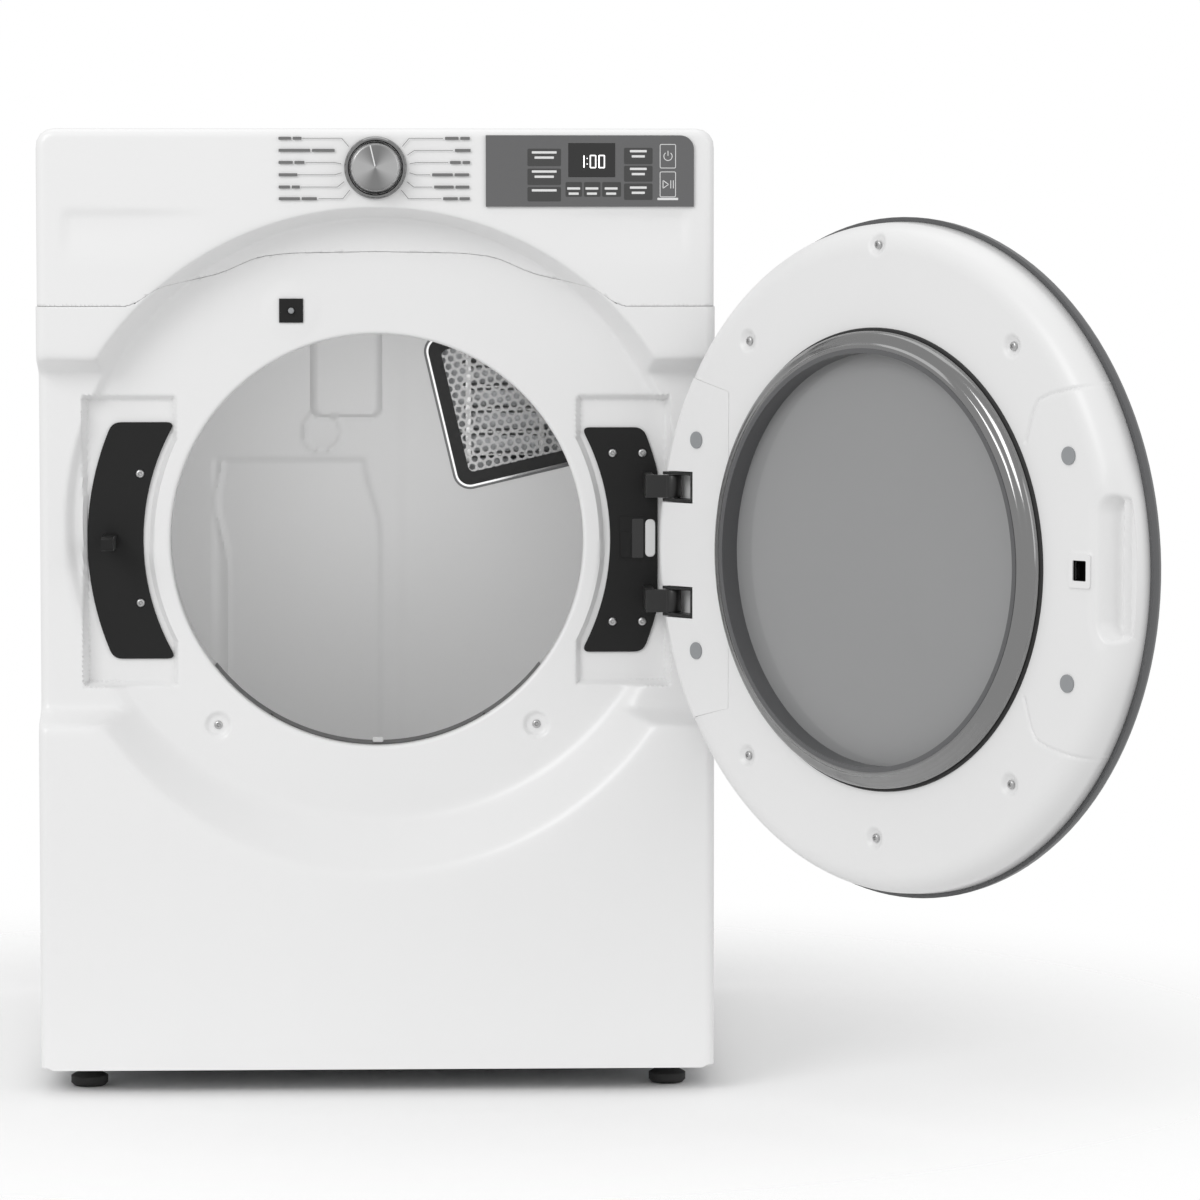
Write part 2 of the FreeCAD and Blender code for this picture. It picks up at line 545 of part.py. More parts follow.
def make_bulkheads():
    front = "(drum_front - bulkhead_gap - bulkhead_gauge)"
    sheet_front = box("front_sheet", ("0 - bulkhead_half", "bulkhead_half"),
                      (front, f"{front} + bulkhead_gauge"), ("212", "880"))
    collar = rod("collar", "0", inward("dish_depth + front_wall"), "opening_height", "collar_radius + 3",
                 f"{front} + 1 - ({inward('dish_depth + front_wall')})")
    hub = rod("front_hub", "0", front, "opening_height", "seal_radius - seal_gauge", "14")
    hub_bore = rod("front_hub_bore", "0", f"{front} + bulkhead_gauge", "opening_height",
                   "seal_radius - seal_gauge - 3", "20")
    bore = rod("collar_bore", "0", inward("40"), "opening_height", "collar_radius", "200")
    lint_gap = box("lint_gap", ("0 - lint_half - air_gap", "lint_half + air_gap"),
                   (inward("40"), "lint_rear + air_gap"), ("180", "opening_height - 140"))
    sub_part("front_bulkhead", cut("front_bulkhead", fuse("front_bulkhead_blank", cut(
        "front_hub_ring", fuse("front_sheet_hub", sheet_front, hub), hub_bore), collar), bore, lint_gap))

    rear = "(drum_rear + bulkhead_gap)"
    sheet_rear = box("rear_sheet", ("0 - bulkhead_half", "bulkhead_half"),
                     (rear, f"{rear} + bulkhead_gauge"), ("190", "880"))
    rear_hub = tube("rear_hub", "0", f"{rear} - 11", "opening_height", "seal_radius - seal_gauge",
                    "seal_radius - seal_gauge - 3", "12")
    window = grille_plate("inlet_window", "0 - 8", f"{rear} - 5", "20")
    emboss = box("emboss", ("0 - 79", "0 - 2.4"), (f"{rear} - 5", f"{rear} + 1"), ("646", "800"))
    soft_emboss = rounded("soft_emboss", emboss, "9", lambda middle, way:
                          abs(way.y) > 0.9 and middle.z < 700)
    sub_part("rear_bulkhead", cut("rear_bulkhead", fuse("rear_blank", sheet_rear, rear_hub, soft_emboss),
                                  window))

    seals = []
    for name, start in (("front_seal", f"{front} + bulkhead_gauge + 0.3"), ("rear_seal", f"{rear} - 11")):
        seals.append(tube(name, "0", start, "opening_height", "seal_radius", "seal_radius - seal_gauge",
                          "10"))
    sub_part("drum_seals", fuse("drum_seals", *seals))


def grille_plate(name, grow, y, depth):
    """A rounded plate, tilted as the air inlet is, grown or shrunk all round."""
    plate_box = doc.addObject("Part::Box", name + "_block")
    plate_box.setExpression("Length", bound(f"grille_width + 2 * ({grow})"))
    plate_box.setExpression("Width", bound(depth))
    plate_box.setExpression("Height", bound(f"grille_tall + 2 * ({grow})"))
    plate_box.Placement = FreeCAD.Placement(
        FreeCAD.Vector(), FreeCAD.Rotation(FreeCAD.Vector(0, 1, 0), -size("grille_tilt")))
    lean_x = f"0 - ({grow}) * (cos(grille_tilt) - sin(grille_tilt))"
    lean_z = f"0 - ({grow}) * (cos(grille_tilt) + sin(grille_tilt))"
    place(plate_box, f"grille_left + {lean_x}", y, f"grille_low + {lean_z}")
    return rounded(name, plate_box, f"grille_corner + ({grow})", lambda middle, way: abs(way.y) > 0.9)


def make_air_inlet():
    rear = "(drum_rear + bulkhead_gap)"
    outer = grille_plate("grille_rim", "0", f"{rear} - 3", "3")
    hole = grille_plate("grille_rim_hole", "0 - 7", f"{rear} - 9", "20")
    sub_part("air_grille_frame", cut("air_grille_frame", outer, hole))
    mesh = grille_plate("grille_mesh", "0 - 7.3", f"{rear} - 1.8", "1.5")
    sub_part("air_grille_screen", mesh)
    case = grille_plate("heater_case", "6", f"{rear} + bulkhead_gauge", "heater_depth")
    space = grille_plate("heater_space", "4.5", f"{rear} + bulkhead_gauge - 5", "heater_depth + 3.5")
    sub_part("heater_box", cut("heater_box", case, space))
    turns = [rod(f"coil_{number}", "90", f"{rear} + 28", f"{600 + 26 * number}", "4", "100",
                 FreeCAD.Rotation(FreeCAD.Vector(0, 1, 0), 90)) for number in range(6)]
    posts = [box(f"coil_post_{side}", (side, f"{side} + 6"), (f"{rear} + 22", f"{rear} + 34"),
                 ("592", "738")) for side in ("96", "180")]
    sub_part("heating_element", fuse("heating_element", *turns, *posts))


def roller_place(sign):
    reach = "(drum_radius + roller_radius + air_gap)"
    return f"{sign} * {reach} * sin(roller_swing)", f"opening_height - {reach} * cos(roller_swing)"


def make_rollers():
    rear = "(drum_rear + bulkhead_gap)"
    axles = []
    for side, sign in (("left", -1), ("right", 1)):
        x, z = roller_place(sign)
        start = f"{rear} - roller_width - 8"
        axles.append(rod(f"{side}_axle", x, f"{start} - 4", z, "axle_radius", "roller_width + 12"))
        points = [("axle_radius + running", "0"), ("14", "0"), ("14", "2"), ("roller_radius - 2", "2"),
                  ("roller_radius", "4"), ("roller_radius", "roller_width - 4"),
                  ("roller_radius - 2", "roller_width - 2"), ("14", "roller_width - 2"),
                  ("14", "roller_width"), ("axle_radius + running", "roller_width")]
        sub_part(f"{side}_drum_roller", turned(f"{side}_drum_roller", points, x, start, z))
        axles.append(tube(f"{side}_boss", x, f"{rear} - 7", z, "11", "axle_radius", "7"))
    sub_part("roller_axles", fuse("roller_axles", *axles))


# ---------------------------------------------------------------- lint filter, blower and motor
def make_lint():
    outer = box("lint_outer", ("0 - lint_half", "lint_half"), ("lint_front", "lint_rear"),
                ("60", "opening_height - 150"))
    space = box("lint_space", ("3 - lint_half", "lint_half - 3"), ("lint_front + 3", "lint_rear - 3"),
                ("63", "opening_height - 216"))
    slot = box("filter_slot", ("0 - filter_half - 2", "filter_half + 2"),
               ("filter_middle - filter_thick / 2 - 1", "filter_middle + filter_thick / 2 + 1"),
               ("150", "opening_height"))
    throat = rod("throat", "0", "lint_front - 5", "opening_height", "collar_radius", "80")
    inlet = rod("blower_inlet", "motor_side", "lint_rear - 10", "motor_height", "42", "20")
    sub_part("lint_duct", cut("lint_duct", outer, space, slot, throat, inlet))

    slab = box("filter_slab", ("0 - filter_half", "filter_half"),
               ("filter_middle - filter_thick / 2", "filter_middle + filter_thick / 2"),
               ("filter_low", "opening_height - 170"))
    top_arc = rod("filter_arc", "0", "filter_middle - 20", "opening_height", "collar_radius - 2", "40")
    opening = box("filter_opening", ("8 - filter_half", "filter_half - 8"),
                  ("filter_middle - 20", "filter_middle + 20"), ("filter_low + 8", "opening_height - 236"))
    sub_part("lint_filter_frame", cut("lint_filter_frame", slab, top_arc, opening))
    sub_part("lint_filter_screen", box("lint_filter_screen", ("8 - filter_half", "filter_half - 8"),
                                       ("filter_middle - 1.5", "filter_middle + 1.5"),
                                       ("filter_low + 8", "opening_height - 236")))


def make_blower():
    depth = "scroll_rear - scroll_front"
    scroll = rod("scroll", "motor_side", "scroll_front", "motor_height", "scroll_radius", depth)
    chute = box("chute", ("duct_side - 56", "motor_side"), ("scroll_front", "scroll_rear"),
                ("motor_height - scroll_radius", "motor_height + 4"))
    inner = rod("scroll_space", "motor_side", "scroll_front + 2.5", "motor_height",
                "scroll_radius - 2.5", f"{depth} - 5")
    inner_chute = box("chute_space", ("duct_side - 53.5", "motor_side"),
                      ("scroll_front + 2.5", "scroll_rear - 2.5"),
                      ("motor_height - scroll_radius + 2.5", "motor_height + 1.5"))
    mouth = rod("scroll_mouth", "motor_side", "scroll_front - 5", "motor_height", "42", "20")
    shaft_hole = rod("scroll_shaft_hole", "motor_side", "scroll_rear - 10", "motor_height",
                     "shaft_radius + 3", "20")
    outlet = rod("scroll_outlet", "duct_side", "scroll_rear - 10", "duct_height", "duct_radius - 1.5", "20")
    sub_part("blower_housing", cut("blower_housing", fuse("scroll_blank", scroll, chute), inner,
                                   inner_chute, mouth, shaft_hole, outlet))
    run = rod("duct_run", "duct_side", "scroll_rear", "duct_height", "duct_radius + 0.8",
              f"{REAR} - scroll_rear")
    tail = rod("duct_end", "duct_side", REAR, "duct_height", "duct_radius", "duct_tail")
    air = rod("duct_air", "duct_side", "scroll_rear - 5", "duct_height", "duct_radius - 1",
              f"{REAR} + duct_tail - scroll_rear + 10")
    sub_part("exhaust_duct", cut("exhaust_duct", fuse("duct_whole", run, tail), air))

    back = rod("wheel_back", "motor_side", "scroll_rear - 8", "motor_height", "wheel_radius", "2.5")
    hub = rod("wheel_hub", "motor_side", "scroll_rear - 26", "motor_height", "13", "20")
    band = tube("wheel_band", "motor_side", "scroll_front + 6", "motor_height", "wheel_radius", "46", "2.5")
    blades = []
    for number in range(18):
        blade = doc.addObject("Part::Box", f"blade_{number}")
        blade.setExpression("Length", bound("wheel_radius - 50"))
        blade.setExpression("Width", bound("scroll_rear - scroll_front - 14"))
        blade.Height = 2
        angle = 20 * number
        blade.Placement = FreeCAD.Placement(
            FreeCAD.Vector(), FreeCAD.Rotation(FreeCAD.Vector(0, 1, 0), angle))
        place(blade, f"motor_side + 48 * {math.cos(math.radians(angle)):.4f}", "scroll_front + 6",
              f"motor_height - 48 * {math.sin(math.radians(angle)):.4f}")
        blades.append(blade)
    bore = rod("wheel_bore", "motor_side", "scroll_front", "motor_height", "shaft_radius", "80")
    sub_part("blower_wheel", cut("blower_wheel", fuse("wheel_blank", back, hub, band, *blades), bore))


def make_motor():
    start = "(scroll_rear + 8)"
    length = "108"
    can = rod("motor_can", "motor_side", start, "motor_height", "motor_radius", length)
    soft_can = rounded("soft_can", can, "6", lambda middle, way: True)
    bore = rod("motor_bore", "motor_side", "scroll_rear", "motor_height", "shaft_radius + running", "150")
    sub_part("motor_body", cut("motor_body", soft_can, bore))
    points = [("0", "0"), ("shaft_radius", "0"), ("shaft_radius", "scroll_rear - scroll_front + 106"),
              ("pulley_radius + 2", "scroll_rear - scroll_front + 106"),
              ("pulley_radius + 2", "scroll_rear - scroll_front + 108"),
              ("pulley_radius", "scroll_rear - scroll_front + 109"),
              ("pulley_radius", "scroll_rear - scroll_front + 123"),
              ("pulley_radius + 2", "scroll_rear - scroll_front + 124"),
              ("pulley_radius + 2", "scroll_rear - scroll_front + 126"),
              ("0", "scroll_rear - scroll_front + 126")]
    sub_part("motor_shaft", turned("motor_shaft", points, "motor_side", "scroll_front + 20",
                                   "motor_height"))
    foot = box("cradle_foot", ("motor_side - 70", "motor_side + 70"), (f"{start} + 10", f"{start} + 98"),
               ("2", "6"))
    ends = [box(f"cradle_end_{number}", ("motor_side - 56", "motor_side + 56"),
                (f"{start} + {offset}", f"{start} + {offset} + 4"), ("6", "motor_height - 14"))
            for number, offset in enumerate((12, 92))]
    saddle = rod("saddle", "motor_side", start, "motor_height", "motor_radius", length)
    arm_y = "(shaft_end - 24)"
    base = box("idler_base", ("idler_pivot_side - 10", "motor_side"), (f"{start} + 90", f"{arm_y} + 3"),
               ("2", "6"))
    upright = box("idler_upright", ("idler_pivot_side - 8", "idler_pivot_side + 8"),
                  (f"{arm_y} - 6", f"{arm_y} - 2"), ("6", "idler_pivot_height + 8"))
    stud = rod("idler_stud", "idler_pivot_side", f"{arm_y} - 2", "idler_pivot_height", "5", "8")
    sub_part("motor_mount", fuse("motor_mount", cut("cradle_saddled", fuse("cradle", foot, *ends), saddle),
                                 base, upright, stud))


# ---------------------------------------------------------------- belt and idler
def tangent(big, big_radius, small, small_radius, side):
    """Where the outer tangent of two circles touches them, seen along +Y."""
    span = small - big
    lean = math.acos((big_radius - small_radius) / span.Length)
    way = math.atan2(span.z, span.x) + side * lean
    push = FreeCAD.Vector(math.cos(way), 0, math.sin(way))
    return big + push * big_radius, small + push * small_radius


def belt_loop(grow):
    """The belt's loop about the drum and the motor pulley, grown outward by some gap."""
    drum = FreeCAD.Vector(0, 0, size("opening_height"))
    pulley = FreeCAD.Vector(size("motor_side"), 0, size("motor_height"))
    drum_radius, pulley_radius = size("drum_radius") + grow, size("pulley_radius") + grow
    top = drum + FreeCAD.Vector(0, 0, drum_radius)
    low = pulley - FreeCAD.Vector(0, 0, pulley_radius)
    left = tangent(drum, drum_radius, pulley, pulley_radius, -1)
    right = tangent(drum, drum_radius, pulley, pulley_radius, 1)
    edges = [Part.Arc(left[0], top, right[0]).toShape(), Part.LineSegment(right[0], right[1]).toShape(),
             Part.Arc(right[1], low, left[1]).toShape(), Part.LineSegment(left[1], left[0]).toShape()]
    return Part.Wire(edges)


def make_belt():
    gap = size("air_gap")
    ring = Part.Face(belt_loop(gap + size("belt_gauge"))).cut(Part.Face(belt_loop(gap)))
    belt = doc.addObject("Part::Feature", "drum_belt")
    belt.Shape = ring.extrude(FreeCAD.Vector(0, size("belt_width"), 0))
    belt.Placement = FreeCAD.Placement(FreeCAD.Vector(0, size("shaft_end") - 14.5, 0), UPRIGHT)
    sub_part("drum_belt", belt)


def idler_place():
    """The idler pulley's centre: outside the belt's left run, just above the motor pulley."""
    drum = FreeCAD.Vector(0, 0, size("opening_height"))
    pulley = FreeCAD.Vector(size("motor_side"), 0, size("motor_height"))
    reach = size("air_gap") + size("belt_gauge")
    far, near = tangent(drum, size("drum_radius") + reach, pulley, size("pulley_radius") + reach, -1)
    run = (far - near).normalize()
    across = FreeCAD.Vector(run.z, 0, -run.x)
    if across.x > 0:
        across = across * -1
    return near + run * 42 + across * (size("idler_radius") + size("air_gap"))


def make_idler():
    spot = idler_place()
    y = "shaft_end - 14 - 3"
    points = [("5 + running", "0"), ("idler_radius", "0"), ("idler_radius", "belt_width + 6"),
              ("5 + running", "belt_width + 6")]
    x, z = f"{spot.x:.3f}", f"{spot.z:.3f}"
    wheel = turned("idler_pulley", points, x, y, z)
    sub_part("idler_pulley", wheel)
    pivot_x, pivot_z = "idler_pivot_side", "idler_pivot_height"
    link = doc.addObject("Part::Feature", "idler_link")
    start = FreeCAD.Vector(size(pivot_x), 0, size(pivot_z))
    way = (spot - start).normalize()
    across = FreeCAD.Vector(way.z, 0, -way.x) * 7
    corners = [start + across, spot + across, spot - across, start - across, start + across]
    link.Shape = Part.Face(Part.makePolygon(corners)).extrude(FreeCAD.Vector(0, 4, 0))
    link.Placement = FreeCAD.Placement(FreeCAD.Vector(0, size("shaft_end") - 24, 0), UPRIGHT)
    arm_y = "shaft_end - 24"
    eye = rod("idler_eye", pivot_x, arm_y, pivot_z, "11", "4")
    pin = rod("idler_pin", x, arm_y, z, "5", "belt_width + 15")
    tip = rod("idler_tip", x, arm_y, z, "8", "4")
    hole = rod("idler_hole", pivot_x, f"{arm_y} - 5", pivot_z, "5 + running", "20")
    sub_part("idler_arm", cut("idler_arm", fuse("idler_blank", link, eye, pin, tip), hole))


# ---------------------------------------------------------------- door
def door_turned(name, points):
    """A round door piece, drawn shut: radius and distance outward from the door's inner face."""
    flipped = [(radius, f"0 - ({out})") for radius, out in points]
    return turned(name, flipped, "0", f"{FRONT} - panel_out", "door_height")


def door_y(out):
    """The y, with the door shut, of a distance outward from the door's inner face."""
    return f"({FRONT} - panel_out - ({out}))"


def insert_region(name, sign, grow):
    """The side bay of the inner panel that its own insert fills."""
    corners = [(209, 158), (283, 176), (345, 176)]
    right = [(f"{sign} * ({x} - {grow})", f"{rise} + {grow}") for x, rise in corners]
    left = [(x, f"0 - ({rise})") for x, rise in right[::-1]]
    return pressed(name, "XZ_Plane", right + left, "80", "0", door_y("0 - 20"), "door_height")


def panel_shell(name):
    """The inner panel's pressed shell: flat face, soft corner and drafted skirt."""
    wall = "panel_wall"
    return door_turned(name, [
        ("trim_inner + 4", "0"), ("panel_edge - 5", "0"), ("panel_edge - 1.4", "1.4"),
        ("panel_edge", "5"), ("skirt_radius", "skirt_depth"), (f"skirt_radius - {wall}", "skirt_depth"),
        (f"panel_edge - {wall}", "5.6"), (f"panel_edge - {wall} - 2", wall), ("trim_inner + 4", wall)])


def well(name, x, out, z, wall):
    """A box-shaped pocket in the inner panel: its walls and the space that they hold."""
    (x_low, x_high), (z_low, z_high) = x, z
    walls = box(name + "_walls", (f"{x_low} - {wall}", f"{x_high} + {wall}"),
                (door_y(f"{out} + {wall}"), door_y("0")), (f"{z_low} - {wall}", f"{z_high} + {wall}"))
    space = box(name + "_space", x, (door_y(out), door_y("0 - 30")), z)
    return walls, space


def door_screw_places():
    return [("181.4", "208.9"), ("0 - 181.4", "208.9"), ("181.4", "0 - 203.5"), ("0 - 181.4", "0 - 203.5"),
            ("0", "304"), ("0", "0 - 270.3")]


def door_plug_places():
    return [(f"{side} * 255.9", f"{rise}") for side in (-1, 1) for rise in (108.6, -103.2)]


def make_door():
    envelope = door_turned("door_envelope", [("0", "0"), ("panel_edge - 5", "0"), ("panel_edge - 1.4", "1.4"),
                                             ("panel_edge", "5"), ("skirt_radius", "skirt_depth"),
                                             ("0", "skirt_depth")])
    screw_holes = [rod(f"door_screw_hole_{n}", x, door_y("9"), f"door_height + {z}", "2.4", "20")
                   for n, (x, z) in enumerate(door_screw_places())]
    plug_holes = [rod(f"plug_hole_{n}", x, door_y("9"), f"door_height + {z}", "5.2", "20")
                  for n, (x, z) in enumerate(door_plug_places())]
    panel = panel_shell("panel_shell")
    bays = [insert_region(f"bay_{side}", sign, "0.3") for side, sign in (("hinge", 1), ("strike", -1))]
    door_part("door_inner_panel", cut("door_inner_panel", panel, *bays, *screw_holes))

    # hinge insert: two wells, one about each hinge arm, open at the door's edge
    blank = common("hinge_insert_blank", panel_shell("hinge_insert_shell"),
                   insert_region("hinge_insert_bay", 1, "0"))
    walls, spaces = [], []
    for number, sign in enumerate((-1, 1)):
        middle = f"opening_height + {sign} * arm_spread"
        wall, space = well(f"arm_well_{number}", ("262", "345"), "20",
                           (f"{middle} - 16", f"{middle} + 16"), "2")
        walls.append(common(f"arm_well_kept_{number}", wall, envelope))
        spaces.append(space)
    door_part("door_hinge_insert", cut("door_hinge_insert", fuse("hinge_insert_whole", blank, *walls),
                                       *spaces, *plug_holes))

    # strike insert: the latch socket's seat and the finger recess under the grip
    blank = common("strike_insert_blank", panel_shell("strike_insert_shell"),
                   insert_region("strike_insert_bay", -1, "0"))
    grip_wall, grip_space = well("grip_well", ("0 - 345", "0 - 293"), "22", ("472", "612"), "2")
    socket_hole = box("socket_hole", ("0 - tongue_side - 11.3", "11.3 - tongue_side"),
                      (door_y("30"), door_y("0 - 5")), ("opening_height - 13.3", "opening_height + 13.3"))
    ridge = box("grip_ridge", ("0 - 312", "0 - 307"), (door_y("22"), door_y("6")), ("472", "612"))
    hollowed = cut("strike_insert_hollowed", fuse(
        "strike_insert_whole", blank, common("grip_well_kept", grip_wall, envelope)),
        grip_space, socket_hole, *plug_holes)
    door_part("door_strike_insert", fuse("door_strike_insert", hollowed, ridge))

    block = box("strike_block", ("0 - tongue_side - 11", "11 - tongue_side"),
                (door_y("17"), door_y("0 - 1")), ("opening_height - 13", "opening_height + 13"))
    socket = box("strike_socket", ("0 - tongue_side - 8.5", "8.5 - tongue_side"),
                 (door_y("14"), door_y("0 - 5")), ("opening_height - 9.5", "opening_height + 9.5"))
    door_part("door_strike", cut("door_strike", block, socket))

    door_part("door_glass_ring", glass_ring())
    door_part("door_inner_glass", door_turned("door_inner_glass", [
        ("0", "3.2"), ("glass_radius", "3.2"), ("glass_radius", "7.2"), ("0", "7.2")]))
    door_part("door_outer_ring", door_turned("door_outer_ring", rim_points()))
    door_part("door_window", door_turned("door_window", [
        ("0", "rim_face - 1"), ("window_radius", "rim_face - 3"), ("window_radius", "rim_face + 1"),
        ("window_radius * 0.7", "rim_face + 5.5"), ("window_radius * 0.35", "rim_face + 8"),
        ("0", "rim_face + 9")]))
    screws = [screw(f"door_screw_{n}", x, door_y("0 - 2.6"), f"door_height + {z}")
              for n, (x, z) in enumerate(door_screw_places())]
    for each in screws:
        each.Placement.Rotation = FreeCAD.Rotation(FreeCAD.Vector(1, 0, 0), 90)
        each.setExpression("Placement.Base.y", bound(door_y("0 - 2.6")))
    door_part("door_screws", fuse("door_screws", *screws))
    plugs = []
    for n, (x, z) in enumerate(door_plug_places()):
        head = rod(f"plug_head_{n}", x, door_y("0"), f"door_height + {z}", "8.5", "1.4")
        stem = rod(f"plug_stem_{n}", x, door_y("8"), f"door_height + {z}", "5", "8")
        plugs += [head, stem]
    door_part("door_plugs", fuse("door_plugs", *plugs))
    make_hinge_leaf()


def glass_ring():
    """The stepped trim ring about the glass."""
    rise = "trim_rise"
    return door_turned("door_glass_ring", [
        ("trim_inner", "3.2"), ("trim_inner", f"2 - {rise}"), ("trim_inner + 2", f"0 - {rise}"),
        ("trim_inner + 8", f"0 - {rise}"), ("trim_inner + 11", f"3.5 - {rise}"),
        ("trim_inner + 15", f"4.5 - {rise}"), ("trim_radius - 1.5", f"8 - {rise}"),
        ("trim_radius", f"11 - {rise}"), ("trim_radius", "0"), ("trim_inner + 3.6", "0"),
        ("trim_inner + 3.6", "3.2")])


def rim_points():
    """The outer ring's section: a thin shell that rolls from the skirt round to the window."""
    middle_r, middle_out, roll = "(door_radius - 16)", "(rim_face - 16)", 16
    outer = [(f"{middle_r} + {roll * math.cos(turn):.3f}", f"{middle_out} + {roll * math.sin(turn):.3f}")
             for turn in (math.radians(step) for step in range(0, 91, 15))]
    inner = [(f"{middle_r} + {(roll - 3) * math.cos(turn):.3f}",
              f"{middle_out} + {(roll - 3) * math.sin(turn):.3f}")
             for turn in (math.radians(step) for step in range(90, -1, -15))]
    return ([("skirt_radius - 3", "skirt_depth + 0.3"), ("door_radius", "skirt_depth + 0.3")] + outer
            + [("window_radius + 0.5", "rim_face + 1.5"), ("window_radius + 0.5", "rim_face - 7"),
               ("window_radius - 12", "rim_face - 7"), ("window_radius - 12", "rim_face - 10"),
               ("window_radius + 3.5", "rim_face - 10"), ("window_radius + 3.5", "rim_face - 2")]
            + inner + [("skirt_radius - 3", "skirt_depth + 3")])


def make_hinge_leaf():
    """The door's half of the hinge: a pair of ears about each arm, joined by a web."""
    ears, bores, pins = [], [], []
    for number, sign in enumerate((-1, 1)):
        middle = f"opening_height + {sign} * arm_spread"
        for side in (-1, 1):
            low = f"{middle} + arm_half + 0.5" if side > 0 else f"{middle} - arm_half - 3.5"
            ears.append(box(f"ear_{number}_{side + 1}", ("263.5", "308"), (door_y("17"), door_y("1")),
                            (low, f"{low} + 3")))
        ears.append(box(f"ear_web_{number}", ("263.5", "266.5"), (door_y("17"), door_y("1")),
                        (f"{middle} - arm_half - 0.5", f"{middle} + arm_half + 0.5")))
        bores.append(rod(f"ear_bore_{number}", "hinge_side", HINGE_Y, f"{middle} - 20", "pin_radius",
                         "40", UPRIGHT))
        pins.append(rod(f"pin_{number}", "hinge_side", HINGE_Y, f"{middle} - 15.4", "pin_radius", "30.8",
                        UPRIGHT))
    door_part("door_hinge_leaf", cut("door_hinge_leaf", fuse("leaf_blank", *ears), *bores))
    door_part("hinge_pins", fuse("hinge_pins", *pins))


# ---------------------------------------------------------------- build, check and write
for make in (make_cabinet, make_feet, make_front, make_front_screws, make_plates, make_hinge_bracket,
             make_door_switch, make_console, make_drum, make_bulkheads, make_air_inlet, make_rollers,
             make_lint, make_blower, make_motor, make_belt, make_idler, make_door):
    make()
doc.recompute()

failed = [thing.Label for thing in doc.Objects if "Invalid" in thing.State or "Error" in thing.State]
if failed:
    raise SystemExit(f"these objects failed: {failed}")
for piece in subparts:
    if piece.Shape.isNull() or not piece.Shape.isValid() or not piece.Shape.Solids:
        raise SystemExit(f"{piece.Label} has no valid solid")

os.makedirs("parts", exist_ok=True)
for piece in subparts:
    piece.Shape.exportStep(f"parts/{piece.Label}.step")
    span = piece.Shape.BoundBox
    print(f"{piece.Label}: {len(piece.Shape.Solids)} solids, {piece.Shape.Volume / 1000:.1f} cm3, "
          f"x {span.XMin:.1f}..{span.XMax:.1f} y {span.YMin:.1f}..{span.YMax:.1f} "
          f"z {span.ZMin:.1f}..{span.ZMax:.1f}")
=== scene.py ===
"""Looks for the clothes dryer: its enamelled front, console, open door and drum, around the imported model."""
import math

import bmesh
import bpy
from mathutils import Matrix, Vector


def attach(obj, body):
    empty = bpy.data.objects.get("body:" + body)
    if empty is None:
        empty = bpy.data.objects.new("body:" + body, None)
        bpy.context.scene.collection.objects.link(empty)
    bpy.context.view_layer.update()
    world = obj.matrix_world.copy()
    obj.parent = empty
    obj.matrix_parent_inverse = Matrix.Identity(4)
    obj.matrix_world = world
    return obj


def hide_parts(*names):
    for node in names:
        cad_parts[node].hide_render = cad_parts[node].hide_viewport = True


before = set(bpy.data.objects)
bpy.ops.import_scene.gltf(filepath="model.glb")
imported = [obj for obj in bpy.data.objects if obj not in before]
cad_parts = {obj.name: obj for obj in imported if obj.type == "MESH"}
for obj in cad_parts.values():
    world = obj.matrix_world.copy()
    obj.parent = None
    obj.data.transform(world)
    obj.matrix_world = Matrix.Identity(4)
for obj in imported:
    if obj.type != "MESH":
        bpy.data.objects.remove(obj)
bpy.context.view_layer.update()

MM = 0.001
FRONT = -372.5              # y of the front plane, in millimetres like every size below
SIDE = 343.0                # half the cabinet's width
TOP = 957.0                 # height of the console's top above the cabinet's underside
EDGE = 9.0                  # rounding along the front's outer edges
CROWN = 18.0                # rounding of the front's two top corners
SHEET_BACK = 54.0           # depth at which the front's return ends
OPENING_Z = 538.5           # height of the middle of the door opening
OPENING = 210.7             # radius of the door opening
FLOOR_Z = 559.5             # height of the middle of the recess's floor
FLOOR = 309.0               # radius of the recess's floor
MOUTH = 338.7               # radius of the recess's mouth
DISH = 50.0                 # depth of the recess
SEAM_Z = 777.6              # height of the seam below the console, at the sides
SEAM_ARCH = ((0, 55.2), (88, 53.6), (121, 49.6), (158.5, 33), (220, 18.6), (246, 0), (420, 0))
KNOB_Z = 917.3              # height of the knob's middle
HINGE = (300.0, -385.0)     # x and y of the door's hinge axis
DOOR_ANGLE = math.radians(129.24)
DOOR_Z = 536.0              # height of the middle of the door's panel
PANEL_Y = FRONT - 4.1       # y of the panel's inner face while the door is shut
REAR_Y = 300.0              # y of the drum's rear wall


# ---------------------------------------------------------------- mesh tools
def piece(name, verts, faces, body, slot, material=None, stands_for=(), smooth=True, sharp=35):
    """A mesh in millimetres that rides on a body and takes its slot's finish, or another."""
    mesh = bpy.data.meshes.new(name)
    mesh.from_pydata([Vector(v) * MM for v in verts], [], faces)
    mesh.validate()
    thing = bpy.data.objects.new(name, mesh)
    bpy.context.scene.collection.objects.link(thing)
    thing.data.materials.append(material or M[slot])
    if smooth:
        mesh.shade_smooth()
        mesh.set_sharp_from_angle(angle=math.radians(sharp))
    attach(thing, body)
    if stands_for:
        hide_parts(*stands_for)
    return thing


def join(*parts):
    """Several (vertices, faces) lists as one."""
    verts, faces = [], []
    for more, sides in parts:
        start = len(verts)
        verts += more
        faces += [tuple(start + i for i in side) for side in sides]
    return verts, faces


def ring_faces(rows, count, closed=False):
    """The faces between rings of as many points each; closed joins the last ring to the first."""
    faces = []
    for row in range(rows if closed else rows - 1):
        a, b = row * count, (row + 1) % rows * count
        for step in range(count):
            turn = (step + 1) % count
            faces.append((a + step, a + turn, b + turn, b + step))
    return faces


